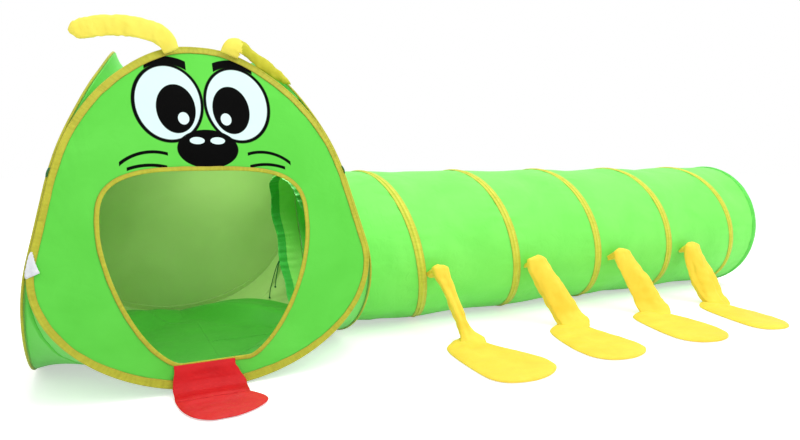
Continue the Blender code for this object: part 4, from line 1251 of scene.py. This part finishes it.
def makeLeg(side, number, seed):
    # A slack flat tube with lengthwise folds, whose end turns out over the foot
    _, knee, ankle, _ = legPoints(side, number)
    way = -1 if side == "near" else 1
    along = np.array((1.0, 0, 0))
    ground, lengthWay = ankle * np.array((1, 1, 0)), footWay(side, number)
    corners = np.array([knee + np.array((0, way * 0.003, legSettings["rise"])), knee + (ankle - knee) * 0.1,
                        knee + (ankle - knee) * 0.5, ankle + (knee - ankle) * 0.09,
                        ground + lengthWay * 0.024 + np.array((0, 0, 0.0120)),
                        ground + lengthWay * 0.070 + np.array((0, 0, 0.0050))])
    shares = np.linspace(0, 1, legSettings["steps"])
    middles = softLine(corners, shares)
    middles[:, 0] -= 0.006 * (1 - shares) ** 3
    ends = np.sqrt(np.minimum(np.clip(shares / 0.04, 0.03, 1), np.clip((1 - shares) / 0.05, 0.02, 1)))
    halves = smoothValues(legSettings["widths"][number - 1], shares) * ends
    depths = smoothValues(legSettings["depths"], shares) * ends
    rings = []
    for k, share in enumerate(shares):
        down = unit(middles[min(k + 1, len(shares) - 1)] - middles[max(k - 1, 0)])
        bow = 0.006 * sin(share * pi * 1.3) * (1 if number % 2 else -1) * (1 - share)
        turn = way * legSettings["facing"][number - 1] * min(1, 2.5 * share, 6 * (1 - share))
        depthWay = unit(np.cross(along, down))
        folds = legSettings["folds"][number - 1] * min(1, 3 * share)
        ring = ovalRing(middles[k] + along * bow, along * cos(turn) + depthWay * sin(turn),
                        depthWay * cos(turn) - along * sin(turn), halves[k], depths[k], legSettings["sides"],
                        2.2, folds, seed + 1.6 * share)
        # What lies in the foot stays above the ground
        ring[:, 2] = np.maximum(ring[:, 2], legSettings["lowest"])
        rings.append(ring)
    leg = makeTube(f"{side}_leg_cloth_{number}", rings)
    crease(leg, [(0.024, 0.0026, seed, (1, 1, 0.30)), (0.011, 0.0013, seed + 1, (1, 1, 0.5))],
           lambda p: np.clip((p[:, 2] - ankle[2]) / 0.03 + 0.5, 0.35, 1))
    stuff(leg, 0.3, None, "yellow_cloth", limbYellow, f"{side}_leg_{number}")
    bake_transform(leg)


def makeFoot(side, number, seed):
    # A flat pad: broad toe, narrow heel, thin seamed edge, creased where the leg is sewn on
    way = -1 if side == "near" else 1
    _, _, ankle, _ = legPoints(side, number)
    settings = footSettings
    lengthWay = footWay(side, number)
    acrossWay = np.array((lengthWay[1] * way, -lengthWay[0] * way, 0))
    shares = (1 - np.cos(np.linspace(0, pi, settings["steps"] + 2)[1:-1])) / 2
    lefts = smoothValues(settings["left"][number - 1], shares)
    rights = smoothValues(settings["right"][number - 1], shares)
    angles = np.linspace(0, fullTurn, settings["sides"], endpoint=False)
    flat = signedPower(np.cos(angles), 0.75)
    puff = np.sqrt(np.clip(1 - flat**2, 0, 1)) ** 0.8
    heel = ankle * np.array((1, 1, 0)) + np.array((settings["shifts"][number - 1], 0, 0))
    edge = settings["edge"]
    rings = []
    for share, left, right in zip(shares, lefts, rights):
        grow = sqrt(max(0.0, 1 - abs(2 * share - 1) ** (9 if share > 0.5 else 4)))
        crown = settings["thick"] * min(1, grow * 1.4) ** 0.8
        z = np.where(np.sin(angles) >= 0, edge + (crown - edge) * puff, edge - edge * puff)
        halves = np.where(flat < 0, left, right) * grow
        lag = settings["skews"][number - 1] * max(0, 2 * share - 1) ** 1.5 * (flat * halves + left)
        t = (settings["toe"] + settings["heel"]) * share - settings["heel"] - lag
        points = heel + np.outer(t, lengthWay) + np.outer(flat * halves, acrossWay)
        points[:, 2] = z
        rings.append(points)
    foot = makeTube(f"{side}_foot_pad_{number}", rings)
    places = readPoints(foot.data)
    away = places - ankle - lengthWay * 0.03
    distance = np.hypot(away[:, 0], away[:, 1])
    angle = np.arctan2(away[:, 1], away[:, 0])
    top = np.clip((places[:, 2] - 0.003) / 0.006, 0, 1)
    radial = np.sin(angle * 9 + seed) * np.exp(-((distance - 0.055) / 0.030) ** 2) * 0.0022
    soft = 0.0012 * noiseAt(places, 0.040, seed) + 0.0006 * noiseAt(places, 0.014, seed + 1)
    places[:, 2] += top * (np.minimum(radial, 0.0008) + soft)
    writePoints(foot.data, places)
    stuff(foot, 0.4, f"{side}_foot_body_{number}", "yellow_cloth", limbYellow, f"{side}_foot_{number}")


for limbSide, firstSeed in (("near", 0), ("far", 40)):
    for limbNumber in range(1, 5):
        makeStub(limbSide, limbNumber, firstSeed + limbNumber * 3)
        makeLeg(limbSide, limbNumber, firstSeed + limbNumber * 3)
        makeFoot(limbSide, limbNumber, firstSeed // 2 + 60 + limbNumber * 2)
print("legs and feet stuffed")

# Tongue: from below the mouth down over the hoop, folded on the floor

tongueSettings = {"left": -0.097, "right": 0.030, "flare": 0.020, "half": 0.0026, "foldY": -0.426,
                  "tipLength": 0.118, "tipHeight": 0.0028, "sides": 44}


def padRow(start, end, y, z, normal, half, sides):
    # A thin cushion's cross-section between two x places
    angles = np.linspace(0, fullTurn, sides, endpoint=False)
    across = signedPower(np.cos(angles), 0.6)
    deep = np.sin(angles) * half
    points = np.zeros((sides, 3))
    points[:, 0] = (start + end) / 2 + across * (end - start) / 2
    points[:, 1] = y + normal[0] * deep
    points[:, 2] = z + normal[1] * deep
    return points


def makeTongue(settings):
    wall = -head["half"] - head["bulb"] - 0.0008 - settings["half"]
    left, right = settings["left"] - settings["flare"] / 4, settings["right"] + settings["flare"]
    stations = [(-0.3722, 0.0620, 0.0005), (-0.3727, 0.0580, 0.0016), (wall + 0.0010, 0.050, 0.0024),
                (wall - 0.0006, 0.036, 0.0026), (wall - 0.003, 0.026, 0.0026), (wall - 0.009, 0.016, 0.0026),
                (wall - 0.018, 0.0085, 0.0026), (wall - 0.030, 0.0050, 0.0026), (-0.418, 0.0034, 0.0024),
                (settings["foldY"] + 0.0006, 0.0026, 0.0012)]
    line = np.array(stations)
    run, shares = runLength(line[:, :2]), np.linspace(0, 1, 34)
    dense = np.stack([np.interp(shares, run / run[-1], line[:, k]) for k in range(3)], axis=-1)
    rings = []
    for k, (y, z, half) in enumerate(dense):
        before, after = dense[max(k - 1, 0)], dense[min(k + 1, len(dense) - 1)]
        along = unit(after[:2] - before[:2])
        normal = (along[1], -along[0])
        out = limit((0.05 - z) / 0.035)
        rings.append(padRow(settings["left"] + (left - settings["left"]) * out,
                            settings["right"] + (right - settings["right"]) * out, y, z, normal, half,
                            settings["sides"]))
    upper = makeTube("tongue_above", rings)
    crease(upper, [(0.022, 0.0009, 71, (1.6, 1, 0.8)), (0.010, 0.0005, 72, (1, 1, 1))],
           lambda p: np.clip((0.056 - p[:, 2]) / 0.02, 0, 1) * np.clip((p[:, 2] - 0.002) / 0.003, 0, 1))
    stuff(upper, 0.3, "upper_tongue", "red_cloth", tongueRed, "tongue_upper")
    middle, width = (left + right) / 2, (right - left) / 2
    rings = []
    for share in np.sin(np.linspace(0, pi / 2, 30)) * 0.999:
        reach = width * sqrt(max(1 - (share * 0.97) ** 3.2, 0.002)) * (1 + 0.16 * sin(share * pi))
        lean = 0.020 * sin(min(share * 1.5, 1) * pi / 2) - 0.018 * share**3
        half = settings["half"] * min(1, 0.25 + share * 12) * min(1, 0.35 + 5 * (1 - share))
        rings.append(padRow(middle - reach + lean, middle + reach + lean,
                            settings["foldY"] - settings["tipLength"] * share, settings["tipHeight"], (0, 1), half,
                            settings["sides"]))
    tip = makeTube("tongue_end", rings)
    crease(tip, [(0.030, 0.0012, 73, (1, 1.4, 1)), (0.012, 0.0005, 74, (1, 1, 1))],
           lambda p: np.clip((p[:, 2] - settings["tipHeight"]) / 0.002, 0, 1))
    stuff(tip, 0.3, "tip_of_tongue", "red_cloth", tongueRed, "tongue_tip")


makeTongue(tongueSettings)

# Antennae

antennaSettings = {
    "left": {"base": (-0.058, -0.1916, 0.7379), "body": "left_feeler", "seed": 81,
             "path": [(-0.072, 0.767), (-0.100, 0.780), (-0.150, 0.787), (-0.200, 0.783), (-0.240, 0.773),
                      (-0.264, 0.764)],
             "halves": (0.018, 0.022, 0.0225, 0.0225, 0.0225, 0.021, 0.017)},
    "right": {"base": (0.072, -0.1916, 0.7379), "body": "right_feeler", "seed": 84,
              "path": [(0.080, 0.760), (0.098, 0.762), (0.120, 0.743), (0.150, 0.723), (0.185, 0.699),
                       (0.218, 0.678)],
              "halves": (0.022, 0.022, 0.016, 0.013, 0.014, 0.013, 0.005), "droop": 0.100}}


def makeAntenna(side, settings):
    base = np.array(settings["base"])
    y = base[1] - 0.004
    line = np.array([base] + [(x, y, z) for x, z in settings["path"]])
    run = runLength(line)
    shares = np.linspace(0, 1, 48)
    middles = softLine(line, shares)
    halves = np.interp(shares, run / run[-1], settings["halves"])
    forward = np.array((0, -1.0, 0))
    rings = []
    for k, share in enumerate(shares):
        along = unit(middles[min(k + 1, len(shares) - 1)] - middles[max(k - 1, 0)])
        across = unit(np.cross(forward, along))
        end = min(1, sqrt(max((1 - share) / 0.06, 0.05)))
        depth = 0.0078 * min(1, 0.5 + share * 6) * (1 - 0.35 * share)
        rings.append(ovalRing(middles[k], across, forward, halves[k] * end, depth * end, 32, 2.2, 0.03,
                              settings["seed"] + 2 * share))
    antenna = makeTube(f"{side}_feeler_pad", rings)
    seed = settings["seed"]
    crease(antenna, [(0.020, 0.0020, seed, (1.4, 1, 0.5)), (0.008, 0.0008, seed + 1, (1, 1, 1))],
           lambda p: np.clip(np.abs(p[:, 0] - base[0]) / 0.02, 0.2, 1))
    stuff(antenna, 0.5, settings["body"], "yellow_cloth", feelerYellow, f"{side}_antenna")
    if "droop" in settings:
        # The end that hangs behind the hoop lies in shade: it takes a darker, greener copy of the yellow, painted
        # shade
        antenna.data.materials.append(droopYellow)
        for face in antenna.data.polygons:
            face.material_index = int(face.center.x > settings["droop"])


for antennaSide, antennaSetting in antennaSettings.items():
    makeAntenna(antennaSide, antennaSetting)
print("tongue and antennae stuffed")

# Plain stage and soft light

stageSettings = {"size": 30, "height": -0.0012, "colour": (246, 246, 246), "lift": 0.50}
lampSettings = [("key lamp", (2.0, -2.3, 2.6), (1.2, 0.0, 0.2), 2.6, 44),
                ("side lamp", (-1.4, -2.6, 2.8), (0.2, 0.0, 0.3), 3.0, 16),
                ("top lamp", (0.9, -0.2, 3.4), (0.9, 0.0, 0.0), 3.5, 60),
                ("back lamp", (0.5, 3.4, 2.4), (0.6, 0.0, 0.3), 3.0, 20),
                ("inside lamp", (0.13, 0.03, 0.56), (0.13, 0.03, 0.0), 0.16, 1.9)]


def seenDirectly(tree):
    path = addNode(tree, "ShaderNodeLightPath")
    return path, calc(tree, "MAXIMUM", path.outputs["Is Camera Ray"], path.outputs["Is Glossy Ray"])


def makeStage(settings):
    deselectAll()
    bpy.ops.mesh.primitive_plane_add(size=settings["size"], location=(0, 0, settings["height"]))
    floor = bpy.context.object
    floor.name = "stage_floor"
    material, tree, shader = newMaterial("stageFloor", roughness=0.9)
    shader.inputs["Base Color"].default_value = screenColour(*settings["colour"])
    shader.inputs["Emission Color"].default_value = (1, 1, 1, 1)
    _, seen = seenDirectly(tree)
    tree.links.new(calc(tree, "MULTIPLY", seen, settings["lift"]), shader.inputs["Emission Strength"])
    floor.data.materials.append(material)


def makeLight():
    for name, place, target, size, power in lampSettings:
        data = bpy.data.lights.new(name, "AREA")
        data.energy = power
        data.size = size
        lamp = addObject(name, data)
        lamp.location = place
        lamp.rotation_euler = (Vector(target) - Vector(place)).to_track_quat("-Z", "Y").to_euler()
    world = bpy.data.worlds.new("studio")
    bpy.context.scene.world = world
    world.use_nodes = True
    tree = world.node_tree
    path, seen = seenDirectly(tree)
    seen = calc(tree, "MAXIMUM", seen, path.outputs["Is Transmission Ray"])
    background = tree.nodes["Background"]
    background.inputs["Color"].default_value = (1, 1, 1, 1)
    tree.links.new(calc(tree, "MULTIPLY_ADD", seen, 0.45, 0.55), background.inputs["Strength"])


makeStage(stageSettings)
makeLight()
bpy.context.scene.view_settings.view_transform = "Standard"
print("stage lit")
